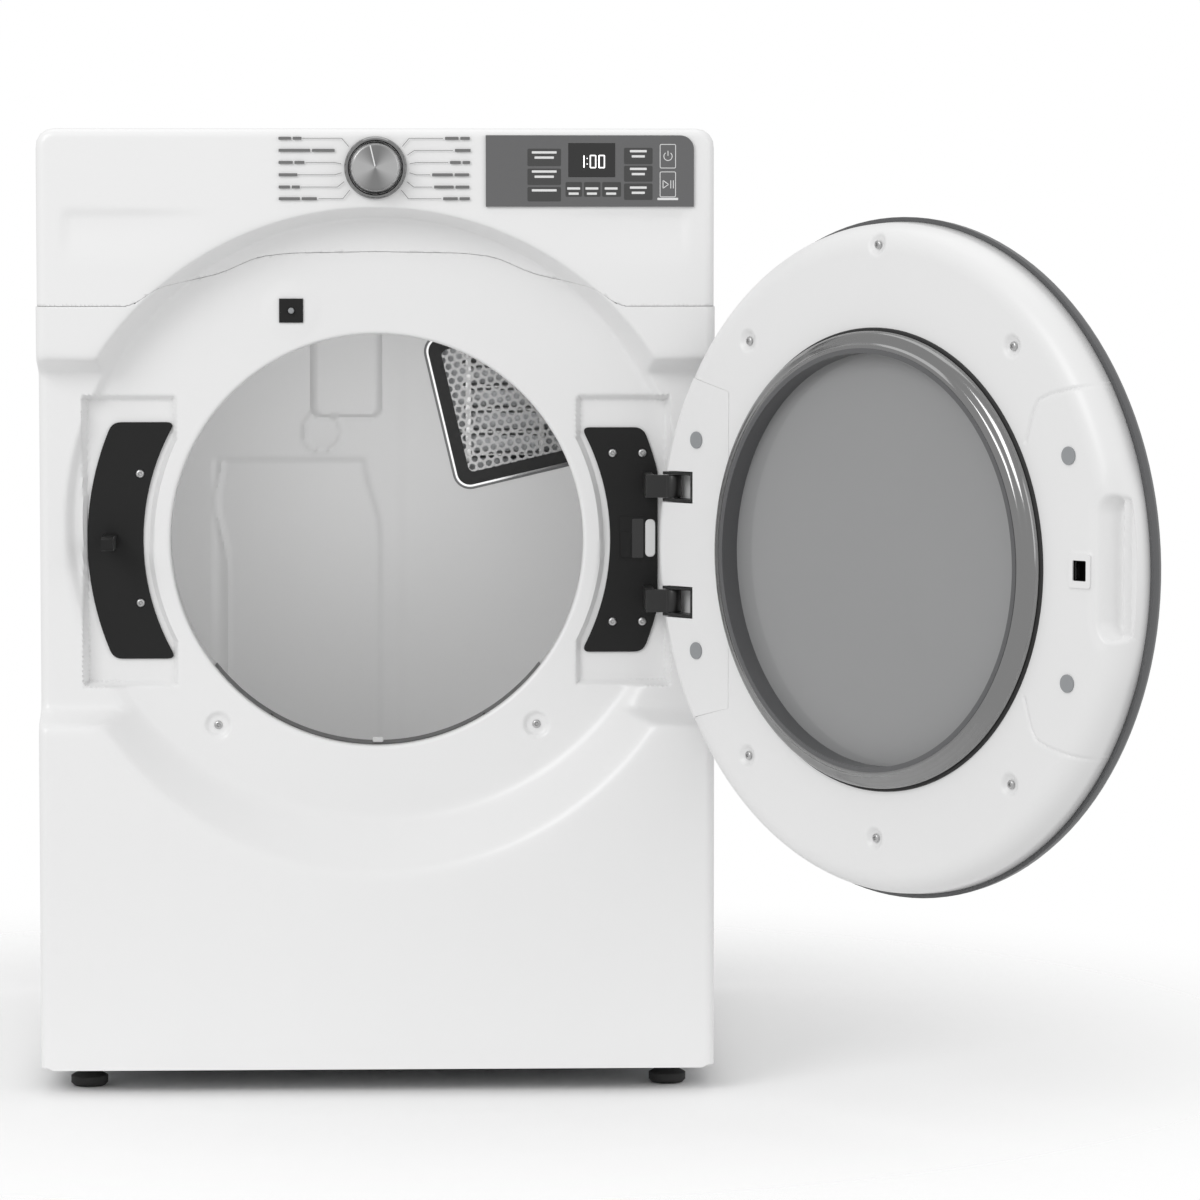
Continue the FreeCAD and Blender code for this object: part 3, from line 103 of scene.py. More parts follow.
def lathe(profile, middle, count=96, closed=False):
    """Radius and y pairs spun about a line along Y through a point (x, z)."""
    verts, faces = [], []
    for radius, y in profile:
        for step in range(count):
            turn = math.tau * step / count
            verts.append((middle[0] + radius * math.cos(turn), y, middle[1] + radius * math.sin(turn)))
    return verts, ring_faces(len(profile), count, closed)


def rounded_outline(x0, x1, z0, z1, radius, steps=6):
    """The corners of a rounded rectangle, counter-clockwise."""
    points = []
    for cx, cz, start in ((x1 - radius, z1 - radius, 0), (x0 + radius, z1 - radius, 90),
                          (x0 + radius, z0 + radius, 180), (x1 - radius, z0 + radius, 270)):
        for step in range(steps + 1):
            turn = math.radians(start + 90 * step / steps)
            points.append((cx + radius * math.cos(turn), cz + radius * math.sin(turn)))
    return points


def slab(points, front, back, soft=0.0):
    """A flat plate of any outline between two depths, its front edge softened."""
    count = len(points)
    mx, mz = sum(p[0] for p in points) / count, sum(p[1] for p in points) / count
    rows = [(front, soft), (front + soft, 0.0), (back, 0.0)] if soft else [(front, 0.0), (back, 0.0)]
    verts = []
    for y, inset in rows:
        for x, z in points:
            reach = math.hypot(x - mx, z - mz) or 1
            verts.append((x - (x - mx) * inset / reach, y, z - (z - mz) * inset / reach))
    faces = [tuple(range(count)), tuple(reversed(range((len(rows) - 1) * count, len(rows) * count)))]
    for row in range(len(rows) - 1):
        for i in range(count):
            j = (i + 1) % count
            faces.append((row * count + j, row * count + i, (row + 1) * count + i, (row + 1) * count + j))
    return verts, faces


def frame_band(outer, inner, front, back):
    """A flat band between two outlines with as many points each."""
    count = len(outer)
    verts = [(x, y, z) for y in (front, back) for ring in (outer, inner) for x, z in ring]
    faces = []
    for i in range(count):
        j = (i + 1) % count
        faces.append((i, j, count + j, count + i))
        faces.append((2 * count + j, 2 * count + i, 3 * count + i, 3 * count + j))
        faces.append((j, i, 2 * count + i, 2 * count + j))
        faces.append((count + i, count + j, 3 * count + j, 3 * count + i))
    return verts, faces


def stroke(points, width, front, back):
    """A thin flat line through points, as a chain of short plates."""
    parts = []
    for (x0, z0), (x1, z1) in zip(points, points[1:]):
        length = math.hypot(x1 - x0, z1 - z0) or 1
        sx, sz = -(z1 - z0) / length * width / 2, (x1 - x0) / length * width / 2
        parts.append(slab([(x0 + sx, z0 + sz), (x0 - sx, z0 - sz), (x1 - sx, z1 - sz),
                           (x1 + sx, z1 + sz)], front, back))
    return join(*parts)


def soften(node, width, steps=2, angle=32):
    """Rounds a carried-over node's hard edges with modifiers; its own mesh stays as it is."""
    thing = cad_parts[node]
    weld = thing.modifiers.new("weld", "WELD")
    weld.merge_threshold = 0.00002
    bevel = thing.modifiers.new("soft_edges", "BEVEL")
    bevel.width, bevel.segments = width * MM, steps
    bevel.limit_method, bevel.angle_limit = "ANGLE", math.radians(angle)
    bevel.use_clamp_overlap = True
    bevel.harden_normals = True
    return thing


def blend_max(a, b, reach):
    """The larger of two depths, with a rounded change-over."""
    h = max(reach - abs(a - b), 0.0) / reach
    return max(a, b) + h * h * reach * 0.25


def ramp(value, low, high):
    """0 below low, 1 above high and smooth between."""
    t = min(max((value - low) / (high - low), 0.0), 1.0)
    return t * t * (3 - 2 * t)


# ---------------------------------------------------------------- shared effects for materials
def new_group(name, inputs, outputs):
    """An empty node group: (name, kind, default) inputs and (name, kind) outputs."""
    tree = bpy.data.node_groups.new(name, "ShaderNodeTree")
    for label, kind, default in inputs:
        socket = tree.interface.new_socket(label, in_out="INPUT", socket_type="NodeSocket" + kind)
        socket.default_value = default
    for label, kind in outputs:
        tree.interface.new_socket(label, in_out="OUTPUT", socket_type="NodeSocket" + kind)
    return tree, tree.nodes.new("NodeGroupInput"), tree.nodes.new("NodeGroupOutput")


def add(tree, kind, wires=(), **settings):
    """A node with its settings and its inputs: a socket is wired, anything else is its value."""
    node = tree.nodes.new("ShaderNode" + kind)
    for label, value in settings.items():
        setattr(node, label, value)
    for socket, value in dict(wires).items():
        if isinstance(value, bpy.types.NodeSocket):
            tree.links.new(value, node.inputs[socket])
        else:
            node.inputs[socket].default_value = value
    return node


def swing_roughness(tree, noise, amount, start, end):
    """Lets a noise swing the group's roughness about its base value."""
    centred = add(tree, "Math", {0: noise.outputs["Fac"], 1: 0.5}, operation="SUBTRACT")
    swing = add(tree, "Math", {0: centred.outputs[0], 1: start.outputs[amount]}, operation="MULTIPLY")
    total = add(tree, "Math", {0: swing.outputs[0], 1: start.outputs["Roughness"]}, operation="ADD")
    tree.links.new(total.outputs[0], end.inputs["Roughness"])
    return tree


def surface_grain_group():
    """Fine unevenness of a coat or a moulding: a height and a roughness that drifts."""
    tree, start, end = new_group("surface_grain", [
        ("Scale", "Float", 900.0), ("Roughness", "Float", 0.3), ("Drift", "Float", 0.05)],
        [("Height", "Float"), ("Roughness", "Float")])
    place = add(tree, "TexCoord").outputs["Object"]
    fine = add(tree, "TexNoise", {"Vector": place, "Scale": start.outputs["Scale"], "Detail": 3.0})
    broad = add(tree, "TexNoise", {"Vector": place, "Scale": 9.0, "Detail": 4.0})
    tree.links.new(fine.outputs["Fac"], end.inputs["Height"])
    return swing_roughness(tree, broad, "Drift", start, end)


def tint_drift_group():
    """Slow colour variation and light settled dust over a base colour."""
    tree, start, end = new_group("tint_drift", [
        ("Base", "Color", (0.8, 0.8, 0.8, 1)), ("Second", "Color", (0.7, 0.7, 0.7, 1)),
        ("Scale", "Float", 6.0), ("Amount", "Float", 0.3)], [("Color", "Color")])
    place = add(tree, "TexCoord").outputs["Object"]
    broad = add(tree, "TexNoise", {"Vector": place, "Scale": start.outputs["Scale"], "Detail": 5.0})
    spread = add(tree, "MapRange", {"Value": broad.outputs["Fac"], "From Min": 0.35, "From Max": 0.7})
    part = add(tree, "Math", {0: spread.outputs[0], 1: start.outputs["Amount"]}, operation="MULTIPLY")
    mix = add(tree, "Mix", {"Factor": part.outputs[0]}, data_type="RGBA")
    tree.links.new(start.outputs["Base"], mix.inputs[6])
    tree.links.new(start.outputs["Second"], mix.inputs[7])
    tree.links.new(mix.outputs[2], end.inputs["Color"])
    return tree


def brushed_group():
    """Fine parallel or ring-shaped scratches, stretched noise in the piece's own axes."""
    tree, start, end = new_group("brushed_lines", [
        ("Stretch", "Vector", (1, 60, 60)), ("Scale", "Float", 30.0), ("Roughness", "Float", 0.3),
        ("Swing", "Float", 0.12)], [("Height", "Float"), ("Roughness", "Float")])
    place = add(tree, "TexCoord").outputs["Object"]
    stretched = add(tree, "VectorMath", {0: place, 1: start.outputs["Stretch"]}, operation="MULTIPLY")
    lines = add(tree, "TexNoise", {"Vector": stretched.outputs[0], "Scale": start.outputs["Scale"],
                                   "Detail": 4.0})
    tree.links.new(lines.outputs["Fac"], end.inputs["Height"])
    return swing_roughness(tree, lines, "Swing", start, end)


GRAIN, DRIFT, BRUSHED = surface_grain_group(), tint_drift_group(), brushed_group()


def grouped(tree, group, **values):
    """A group placed in a material with its own values."""
    node = tree.nodes.new("ShaderNodeGroup")
    node.node_tree = group
    for label, value in values.items():
        node.inputs[label].default_value = value
    return node


def finish(name, colour, second, roughness=0.4, metallic=0.0, grain=900.0, bump=0.02, amount=0.3,
           scale=6.0, stretch=None, **constants):
    """A material: drifting colour, uneven roughness and a fine bump, plus constants of the shader."""
    material = bpy.data.materials.new(name)
    material.use_nodes = True
    tree = material.node_tree
    shader = tree.nodes["Principled BSDF"]
    tint = grouped(tree, DRIFT, Base=(*colour, 1), Second=(*second, 1), Scale=scale, Amount=amount)
    if stretch:
        skin = grouped(tree, BRUSHED, Stretch=stretch, Scale=grain, Roughness=roughness)
    else:
        skin = grouped(tree, GRAIN, Scale=grain, Roughness=roughness)
    relief = add(tree, "Bump", {"Height": skin.outputs["Height"], "Strength": bump, "Distance": 0.0005})
    tree.links.new(tint.outputs["Color"], shader.inputs["Base Color"])
    tree.links.new(skin.outputs["Roughness"], shader.inputs["Roughness"])
    tree.links.new(relief.outputs["Normal"], shader.inputs["Normal"])
    shader.inputs["Metallic"].default_value = metallic
    for label, value in constants.items():
        shader.inputs[label.replace("_", " ")].default_value = value
    return material


def paint_spun_reflection(material):
    """Painted reflection: darker fans above and below the dial's middle and lighter ones at its sides, painted
    into the base colour in place of a spun face's highlight, fixed to the dial.
    """
    tree = material.node_tree
    place = add(tree, "TexCoord").outputs["Object"]
    across = add(tree, "VectorMath", {0: place, 1: (0, 0, -KNOB_Z * MM)}, operation="ADD")
    apart = add(tree, "SeparateXYZ", {0: across.outputs[0]})
    turn = add(tree, "Math", {0: apart.outputs["X"], 1: apart.outputs["Z"]}, operation="ARCTAN2")
    twice = add(tree, "Math", {0: turn.outputs[0], 1: 2.0}, operation="MULTIPLY")
    reflection_wave = add(tree, "Math", {0: twice.outputs[0]}, operation="COSINE")
    share = add(tree, "MapRange", {"Value": reflection_wave.outputs[0], "From Min": -0.8, "From Max": 0.9})
    mix = add(tree, "Mix", {"Factor": share.outputs[0]}, data_type="RGBA")
    shader = tree.nodes["Principled BSDF"]
    tint = shader.inputs["Base Color"].links[0].from_socket
    tree.links.new(tint, mix.inputs[6])
    # colour of the painted dark reflection fans
    mix.inputs[7].default_value = (0.28, 0.28, 0.28, 1)
    tree.links.new(mix.outputs[2], shader.inputs["Base Color"])


def grey(level):
    return (level, level, level)


def glass(name, colour, roughness, transmission, alpha):
    """Glass: plain metallic and transmission, a faint uneven polish."""
    material = finish(name, colour, tuple(c * 0.9 for c in colour), roughness, 0.0, 250.0, 0.004, 0.2)
    shader = material.node_tree.nodes["Principled BSDF"]
    shader.inputs["Transmission Weight"].default_value = transmission
    shader.inputs["Alpha"].default_value = alpha
    shader.inputs["IOR"].default_value = 1.5
    return material


def make_finishes():
    """One material for each of the object's finishes, under the record's slot names."""
    made = {
        "white_enamel": finish("white_enamel", grey(0.85), grey(0.825), 0.32, bump=0.03, grain=420.0,
                               Coat_Weight=0.12, Coat_Roughness=0.2),
        "console_plastic": finish("console_plastic", grey(0.86), grey(0.84), 0.32,
                                  grain=1100.0, bump=0.02, Coat_Weight=0.08),
        "white_plastic": finish("white_plastic", grey(0.82), grey(0.8), 0.35,
                                grain=1500.0, bump=0.05),
        "galvanised": finish("galvanised", (0.5, 0.51, 0.52), (0.44, 0.45, 0.46), 0.42, 0.85, 260.0,
                             0.08, 0.9, 60.0),
        "drum_enamel": finish("drum_enamel", grey(0.66), grey(0.62), 0.38,
                              grain=700.0, bump=0.06, scale=4.0),
        "dark_plate": finish("dark_plate", grey(0.008), grey(0.012), 0.5, grain=1400.0, bump=0.18,
                             Specular_IOR_Level=0.3),
        "dark_rim": finish("dark_rim", (0.1, 0.101, 0.104), (0.12, 0.121, 0.125), 0.36, grain=1200.0,
                           bump=0.08, Coat_Weight=0.1),
        "black_gloss": finish("black_gloss", (0.12, 0.12, 0.122), (0.105, 0.105, 0.108), 0.3,
                              grain=1600.0, bump=0.03, Coat_Weight=0.4),
        "display": finish("display", grey(0.006), grey(0.01), 0.08, grain=300.0, bump=0.004,
                          Coat_Weight=0.6),
        "brushed_knob": finish("brushed_knob", grey(0.62), grey(0.5), 0.24, 1.0, 26.0, 0.05, 0.4, 12.0,
                               (40, 900, 40), Anisotropic=0.75),
        "chrome": finish("chrome", grey(0.3), grey(0.25), 0.13, 1.0, 200.0, 0.01, 0.3),
        "glass": glass("glass", (0.36, 0.362, 0.365), 0.06, 0.12, 0.95),
        "smoked_glass": glass("smoked_glass", (0.05, 0.052, 0.055), 0.05, 0.1, 0.96),
        "steel": finish("steel", grey(0.56), grey(0.45), 0.32, 1.0, 20.0, 0.06, 0.5, 20.0, (60, 60, 6)),
        "black_metal": finish("black_metal", grey(0.008), grey(0.013), 0.46, 0.0, 800.0, 0.1,
                              Coat_Weight=0.2),
        "grey_plastic": finish("grey_plastic", grey(0.1), grey(0.075), 0.5, grain=1200.0, bump=0.12),
        "felt": finish("felt", (0.3, 0.29, 0.28), (0.2, 0.195, 0.19), 0.92, grain=2600.0, bump=0.7,
                       scale=90.0, Sheen_Weight=0.5),
        "mesh": finish("mesh", grey(0.3), grey(0.24), 0.36, 0.6, 300.0, 0.04, 0.5),
        "screen": finish("screen", (0.6, 0.6, 0.58), (0.45, 0.45, 0.43), 0.7, grain=3000.0, bump=0.6),
        "board": finish("board", (0.03, 0.2, 0.08), (0.02, 0.13, 0.05), 0.4, grain=500.0, bump=0.1,
                        scale=120.0),
        "rubber": finish("rubber", grey(0.022), grey(0.04), 0.75, grain=900.0, bump=0.3),
        "motor_grey": finish("motor_grey", (0.07, 0.075, 0.08), (0.1, 0.1, 0.105), 0.45, grain=700.0,
                             bump=0.15),
        "grey_cap": finish("grey_cap", (0.3, 0.31, 0.32), (0.26, 0.27, 0.28), 0.36, grain=900.0,
                           bump=0.05),
        "print": finish("print", grey(0.16), grey(0.2), 0.5, grain=1800.0, bump=0.02),
        "panel_print": finish("panel_print", grey(0.78), grey(0.7), 0.5, grain=1800.0, bump=0.02),
        "panel_button": finish("panel_button", grey(0.055), grey(0.07), 0.32, grain=1600.0, bump=0.03),
        "floor": finish("floor", grey(0.99), grey(0.985), 0.7, grain=40.0, bump=0.01),
    }
    digits = finish("lit_digits", grey(0.9), grey(0.85), 0.5, grain=400.0, bump=0.01)
    light = digits.node_tree.nodes["Principled BSDF"].inputs
    light["Emission Color"].default_value = (1, 1, 1, 1)
    light["Emission Strength"].default_value = 1.2
    made["lit_digits"] = digits
    # paints the knob's reflection fans into its base colour
    paint_spun_reflection(made["brushed_knob"])
    return made


M = make_finishes()


def dress_nodes():
    """Every carried-over node takes its slot's finish."""
    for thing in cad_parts.values():
        for index, old in enumerate(list(thing.data.materials)):
            label = old.name.split(".")[0] if old else ""
            if label in M:
                thing.data.materials[index] = M[label]


# ---------------------------------------------------------------- the front's relief
def seam_height(x):
    """Height of the seam between the front and the console."""
    steps = [abs(x + shift) for shift in range(-9, 10, 2)]
    return SEAM_Z + sum(along(SEAM_ARCH, step) for step in steps) / len(steps)


def along(knots, x):
    """Straight-line value between (x, value) knots."""
    for (x0, z0), (x1, z1) in zip(knots, knots[1:]):
        if x <= x1:
            return z0 + (z1 - z0) * (x - x0) / (x1 - x0)
    return knots[-1][1]


def dish_share(x, z):
    """0 on the edge of the recess's floor and 1 on its mouth, along circles between the two."""
    rise, grow = FLOOR_Z - OPENING_Z, MOUTH - FLOOR
    dz = z - FLOOR_Z
    a = rise * rise - grow * grow
    b = 2 * rise * dz - 2 * FLOOR * grow
    c = x * x + dz * dz - FLOOR * FLOOR
    return 2 * c / (-b + math.sqrt(max(b * b - 4 * a * c, 0.0)))


def soft_clamp(value, reach):
    """Clamps to 0..1 with rounded corners."""
    low = 0.5 * (value + math.sqrt(value * value + reach * reach))
    high = 1 - low
    return 1 - 0.5 * (high + math.sqrt(high * high + reach * reach))


SCOOP_DEPTH, SCOOP_HALF, SCOOP_SLOPE = 38.0, 173.0, 13.0
POCKET_DEPTH, POCKET_HALF, POCKET_NEAR, POCKET_FAR, RIB = 58.0, 149.0, 203.0, 300.0, 227.5
LOW_SCREW = (162.9, 349.5)
SWITCH = (-86.7, 773.1)


def front_depth(x, z):
    """How deep the front's surface lies behind the front plane."""
    share = dish_share(x, z)
    dish = DISH * (1 - soft_clamp(share, 0.16))
    out = (abs(z - OPENING_Z) - SCOOP_HALF) / SCOOP_SLOPE
    scoop = SCOOP_DEPTH * (1 - soft_clamp(out, 0.3))
    depth = blend_max(dish, scoop, 9.0)
    reach = math.hypot(x, z - OPENING_Z)
    inside = min(abs(x) - POCKET_NEAR, POCKET_FAR - abs(x), POCKET_HALF - abs(z - OPENING_Z),
                 reach - RIB)
    if inside > 0:
        depth += (POCKET_DEPTH - depth) * ramp(inside, 0, 5.5)
    dimple = math.hypot(abs(x) - LOW_SCREW[0], z - LOW_SCREW[1])
    depth += 4.0 * (1 - ramp(dimple, 9.5, 14.5))
    raised = math.hypot(x - SWITCH[0], z - SWITCH[1])
    depth -= 1.6 * (1 - ramp(raised, 17, 34))
    if z > SEAM_Z:
        ledge = ramp(z, 815, 866) * (1 - ramp(z, 868, 877))
        width = ramp(abs(x), 150, 255) * (1 - ramp(abs(x), 306, 320))
        depth += 3.4 * ledge * width * (1 - ramp(dish, 0.5, 8))
    return max(depth, 0.0)


def outline_reach(turn):
    """Distance from the opening's middle to the front's outline, its top corners rounded."""
    dx, dz = math.cos(turn), math.sin(turn)
    side, top, bottom = SIDE - EDGE, TOP - EDGE - OPENING_Z, OPENING_Z - 1.0
    reach = min(side / abs(dx) if dx else 1e9, (top / dz) if dz > 0 else (bottom / -dz if dz else 1e9))
    radius = CROWN - EDGE + 0.01
    cx, cz = side - radius, top - radius
    if dz > 0 and reach * abs(dx) > cx and reach * dz > cz:
        along = abs(dx) * cx + dz * cz
        reach = along + math.sqrt(max(along * along - (cx * cx + cz * cz - radius * radius), 0.0))
    return reach


def family_reach(turn, share):
    """Distance from the opening's middle to one of the recess's circles."""
    centre = (FLOOR_Z - OPENING_Z) * (1 - share)
    radius = FLOOR + (MOUTH - FLOOR) * share
    sine = math.sin(turn)
    return centre * sine + math.sqrt(radius * radius - (centre * math.cos(turn)) ** 2)


RAYS = 900
LIP = 4.0


def front_rows():
    """The rings of the front's mesh, from the opening's collar out to the return behind its edge."""
    rows = []
    for step in range(7):
        turn = math.radians(90 * step / 6)
        rows.append(("lip", OPENING + LIP - LIP * math.sin(turn), LIP * (1 - math.cos(turn))))
    rows = [("lip", OPENING, 14.0)] + rows[::-1]
    rows += [("floor", step / 38, 0) for step in range(1, 39)]
    rows += [("wall", step / 22, 0) for step in range(1, 23)]
    rows += [("face", (step / 42), 0) for step in range(1, 43)]
    rows += [("edge", math.radians(90 * step / 7), 0) for step in range(1, 8)]
    return rows + [("return", 25.0, 0), ("return", SHEET_BACK, 0)]


def front_point(kind, value, drop, turn):
    """One point of the front's mesh."""
    dx, dz = math.cos(turn), math.sin(turn)
    start, floor = OPENING + LIP, family_reach(turn, -0.06)
    mouth, rim = min(family_reach(turn, 1.12), outline_reach(turn) - 1.2), outline_reach(turn)
    if kind == "lip":
        x, z = dx * value, OPENING_Z + dz * value
        edge = front_depth(dx * start, OPENING_Z + dz * start)
        return x, FRONT + edge + drop, z
    if kind in ("edge", "return"):
        x, z = dx * rim, OPENING_Z + dz * rim
        inset = EDGE * (math.sin(value) if kind == "edge" else 1.0)
        ox, oz = outward(x, z)
        x, z = x + ox * inset, z + oz * inset
        deep = front_depth(dx * rim, OPENING_Z + dz * rim)
        sink = deep + EDGE * (1 - math.cos(value)) if kind == "edge" else max(deep + EDGE, value)
        return x, FRONT + min(sink, SHEET_BACK), z
    low, high = {"floor": (start, floor), "wall": (floor, mouth), "face": (mouth, rim)}[kind]
    reach = low + (high - low) * value
    x, z = dx * reach, OPENING_Z + dz * reach
    return x, FRONT + front_depth(x, z), z


def outward(x, z):
    """The way out of the front's outline at a point on it: sideways, upwards or across a corner."""
    radius = CROWN - EDGE + 0.01
    cx, cz = SIDE - EDGE - radius, TOP - EDGE - radius
    if z > cz and abs(x) > cx:
        away = Vector((abs(x) - cx, z - cz)).normalized()
        return math.copysign(away.x, x), away.y
    if z >= TOP - EDGE - 0.5:
        return 0.0, 1.0
    if z <= 1.5 and abs(x) < SIDE - EDGE - 0.5:
        return 0.0, 0.0
    return math.copysign(1.0, x), 0.0


def front_mesh():
    """The whole front as one net of rays and rings."""
    rows = front_rows()
    verts = [front_point(kind, value, drop, math.tau * ray / RAYS)
             for kind, value, drop in rows for ray in range(RAYS)]
    return verts, ring_faces(len(rows), RAYS)


def keep_faced(cut, mesh):
    """Writes a cut mesh back without the edges and points that no face uses."""
    for e in [e for e in cut.edges if not e.link_faces]:
        cut.edges.remove(e)
    for v in [v for v in cut.verts if not v.link_faces]:
        cut.verts.remove(v)
    cut.to_mesh(mesh)
    cut.free()


def split_along_seam(mesh, upper):
    """Cuts the front's mesh along the seam and keeps the console or what lies below it."""
    cut_mesh = bmesh.new()
    cut_mesh.from_mesh(mesh)
    xs = [-400 + 800 * step / 100 for step in range(101)]
    gap = 0.5 if upper else 0.1
    for x0, x1 in zip(xs, xs[1:]):
        z0, z1 = seam_height(x0) + gap, seam_height(x1) + gap
        near = [f for f in cut_mesh.faces if x0 - 6 < f.calc_center_median().x / MM < x1 + 6
                and min(z0, z1) - 12 < f.calc_center_median().z / MM < max(z0, z1) + 12]
        edges = {e for f in near for e in f.edges}
        verts = {v for f in near for v in f.verts}
        normal = Vector((z1 - z0, 0, x0 - x1)).normalized()
        bmesh.ops.bisect_plane(cut_mesh, geom=list(verts) + list(edges) + near,
                               plane_co=Vector((x0, 0, z0)) * MM, plane_no=normal, dist=1e-7)
    for f in list(cut_mesh.faces):
        spot = f.calc_center_median() / MM
        above = spot.z > seam_height(spot.x) + gap
        hole = above and math.hypot(spot.x, spot.z - KNOB_Z) < 15
        socket = max(abs(spot.x - SWITCH[0]), abs(spot.z - SWITCH[1])) < 10
        if above != upper or hole or socket:
            cut_mesh.faces.remove(f)
    keep_faced(cut_mesh, mesh)


def make_front():
    verts, faces = front_mesh()
    for name, upper, slot in (("front_shell", False, "white_enamel"),
                              ("console_shell", True, "console_plastic")):
        stands_for = "console_fascia" if upper else "front_panel"
        shell = piece(name, verts, faces, "cabinet", slot, stands_for=(stands_for,))
        split_along_seam(shell.data, upper)
        if upper:
            console_shape(shell)
        shell.data.shade_smooth()
        turn_lip = shell.modifiers.new("sheet_gauge", "SOLIDIFY")
        turn_lip.thickness, turn_lip.offset = -1.2 * MM, -1.0


def console_shape(shell):
    """The console stands a little narrower than the cabinet below it."""
    narrower = (SIDE - 1.2) / SIDE
    for v in shell.data.vertices:
        if abs(v.co.x) > 0.32:
            v.co.x *= narrower


# ---------------------------------------------------------------- screws
def screw_head(x, y, z, radius=4.4, rise=2.2, spin=0.0):
    """A pan head with a six-lobed recess, facing -Y, around a point on its seat."""
    rings, count = 12, 48
    verts = [(x, y - rise + 1.5, z)]
    for ring in range(1, rings + 1):
        reach = radius * ring / rings
        for step in range(count):
            turn = math.tau * step / count
            dome = rise * math.sqrt(max(1 - (reach / radius) ** 4, 0))
            lobe = 1.65 + 0.28 * math.cos(6 * turn)
            sink = 1.5 * (1 - ramp(reach, lobe - 0.25, lobe + 0.15))
            verts.append((x + reach * math.cos(turn + spin), y - dome + sink,
                          z + reach * math.sin(turn + spin)))
    faces = [(0, 1 + step, 1 + (step + 1) % count) for step in range(count)]
    for ring in range(rings - 1):
        a, b = 1 + ring * count, 1 + (ring + 1) * count
        for step in range(count):
            nxt = (step + 1) % count
            faces.append((a + step, b + step, b + nxt, a + nxt))
    return verts, faces


def swung(points):
    """Points of the shut door, in millimetres, moved to where the open door has them."""
    cosine, sine = math.cos(DOOR_ANGLE), math.sin(DOOR_ANGLE)
    return [(HINGE[0] + (x - HINGE[0]) * cosine - (y - HINGE[1]) * sine,
             HINGE[1] + (x - HINGE[0]) * sine + (y - HINGE[1]) * cosine, z) for x, y, z in points]


def facing_in(part):
    """A part drawn facing -Y about the panel's plane, turned to face the cabinet, then swung open."""
    verts, faces = part
    return swung([(x, 2 * PANEL_Y - y, z) for x, y, z in verts]), [tuple(reversed(f)) for f in faces]


DOOR_SCREWS = [(side * 181.4, rise) for side in (-1, 1) for rise in (208.9, -203.5)]
DOOR_SCREWS += [(0, 304), (0, -270.3)]


def make_screws():
    plate_y = FRONT + POCKET_DEPTH - 3
    places = [(side * LOW_SCREW[0], FRONT + DISH + 4, LOW_SCREW[1]) for side in (-1, 1)]
    places += [(-241.6, plate_y, OPENING_Z + rise) for rise in (68.4, -63.6)]
    places += [(x, plate_y, OPENING_Z + rise) for x in (240.9, 271.4) for rise in (88.9, -84)]
    heads = [screw_head(x, y, z, spin=0.4 + 0.7 * number) for number, (x, y, z) in enumerate(places)]
    piece("front_screw_heads", *join(*heads), "cabinet", "steel", stands_for=("front_screws",))
    heads = [facing_in(screw_head(x, PANEL_Y + 2.8, DOOR_Z + rise, spin=0.3 + 0.6 * number))
             for number, (x, rise) in enumerate(DOOR_SCREWS)]
    piece("door_screw_heads", *join(*heads), "door", "steel", stands_for=("door_screws",))


# ---------------------------------------------------------------- console
LABEL_ROWS = ((946.8, 25, 27), (934.7, 60, 17), (922.6, 28, 22), (910.2, 20, 40), (897.9, 23, 38),
              (886.2, 41, 29))
LABEL_LEFT, LABEL_RIGHT = -97.4, 97.0
CONSOLE_PRINT = (FRONT - 0.14, FRONT + 0.4)     # front and back of the console's print


def label_bars(x, z, width, tall=3.0):
    """One printed label, as short bars the size of words; nothing on it can be read."""
    parts, at = [], x
    words = [width] if width < 22 else [width * 0.55, width * 0.4]
    for word in words:
        parts.append(slab(rounded_outline(at, at + word - 1.2, z - tall / 2, z + tall / 2, 0.5, 2),
                          *CONSOLE_PRINT))
        at += word + 0.6
    return join(*parts)


def make_labels():
    bars, lines = [], []
    for z, left, right in LABEL_ROWS:
        bars.append(label_bars(LABEL_LEFT, z, left))
        bars.append(label_bars(LABEL_RIGHT - right, z, right))
        lean = KNOB_Z + (z - KNOB_Z) * 0.72
        for side, near in ((-1, -LABEL_LEFT - left + 1), (1, LABEL_RIGHT - right - 2)):
            reach = math.sqrt(max(33.5 ** 2 - (lean - KNOB_Z) ** 2, 0)) + 1
            elbow = reach + 7
            if near > elbow + 3:
                lines.append(stroke([(side * near, z), (side * elbow, z), (side * reach, lean)], 0.5,
                                    *CONSOLE_PRINT))
    piece("cycle_labels", *join(*bars), "cabinet", "black_gloss", M["print"])
    piece("cycle_leaders", *join(*lines), "cabinet", "black_gloss", M["print"])


def make_knob():
    """The dial: a coned face, a rolled rim and a skirt, with its pointer line."""
    front = FRONT - 22
    profile = [(0.01, front + 0.8), (4, front + 0.7), (12, front + 0.45), (20.5, front + 0.1),
               (22, front), (22.8, front + 0.25), (23.3, front + 0.9), (24.3, front + 6), (25.2, front + 13),
               (25.9, front + 18.4), (26.2, front + 19), (25.6, front + 19.6), (22, front + 19.8),
               (11.5, front + 19.8), (11.5, FRONT + 1), (3.2, FRONT + 1), (3.2, FRONT + 33),
               (0.01, FRONT + 33)]
    body = lathe(profile, (0, KNOB_Z), 160)
    piece("dial", *body, "knob", "brushed_knob", stands_for=("control_knob",))
    lean = math.radians(90 + 13)
    ends = [(r * math.cos(lean), KNOB_Z + r * math.sin(lean)) for r in (1.0, 22.5)]
    piece("dial_pointer", *stroke(ends, 1.2, front - 0.1, front + 1.0), "knob", "white_plastic")
    ring = lathe([(26.9, FRONT + 0.2), (26.9, FRONT - 2.2), (28.0, FRONT - 3.6), (29.6, FRONT - 3.8),
                  (31, FRONT - 2.4), (31.5, FRONT + 0.2)], (0, KNOB_Z), 160)
    piece("dial_bezel", *ring, "cabinet", "chrome", stands_for=("knob_bezel",))


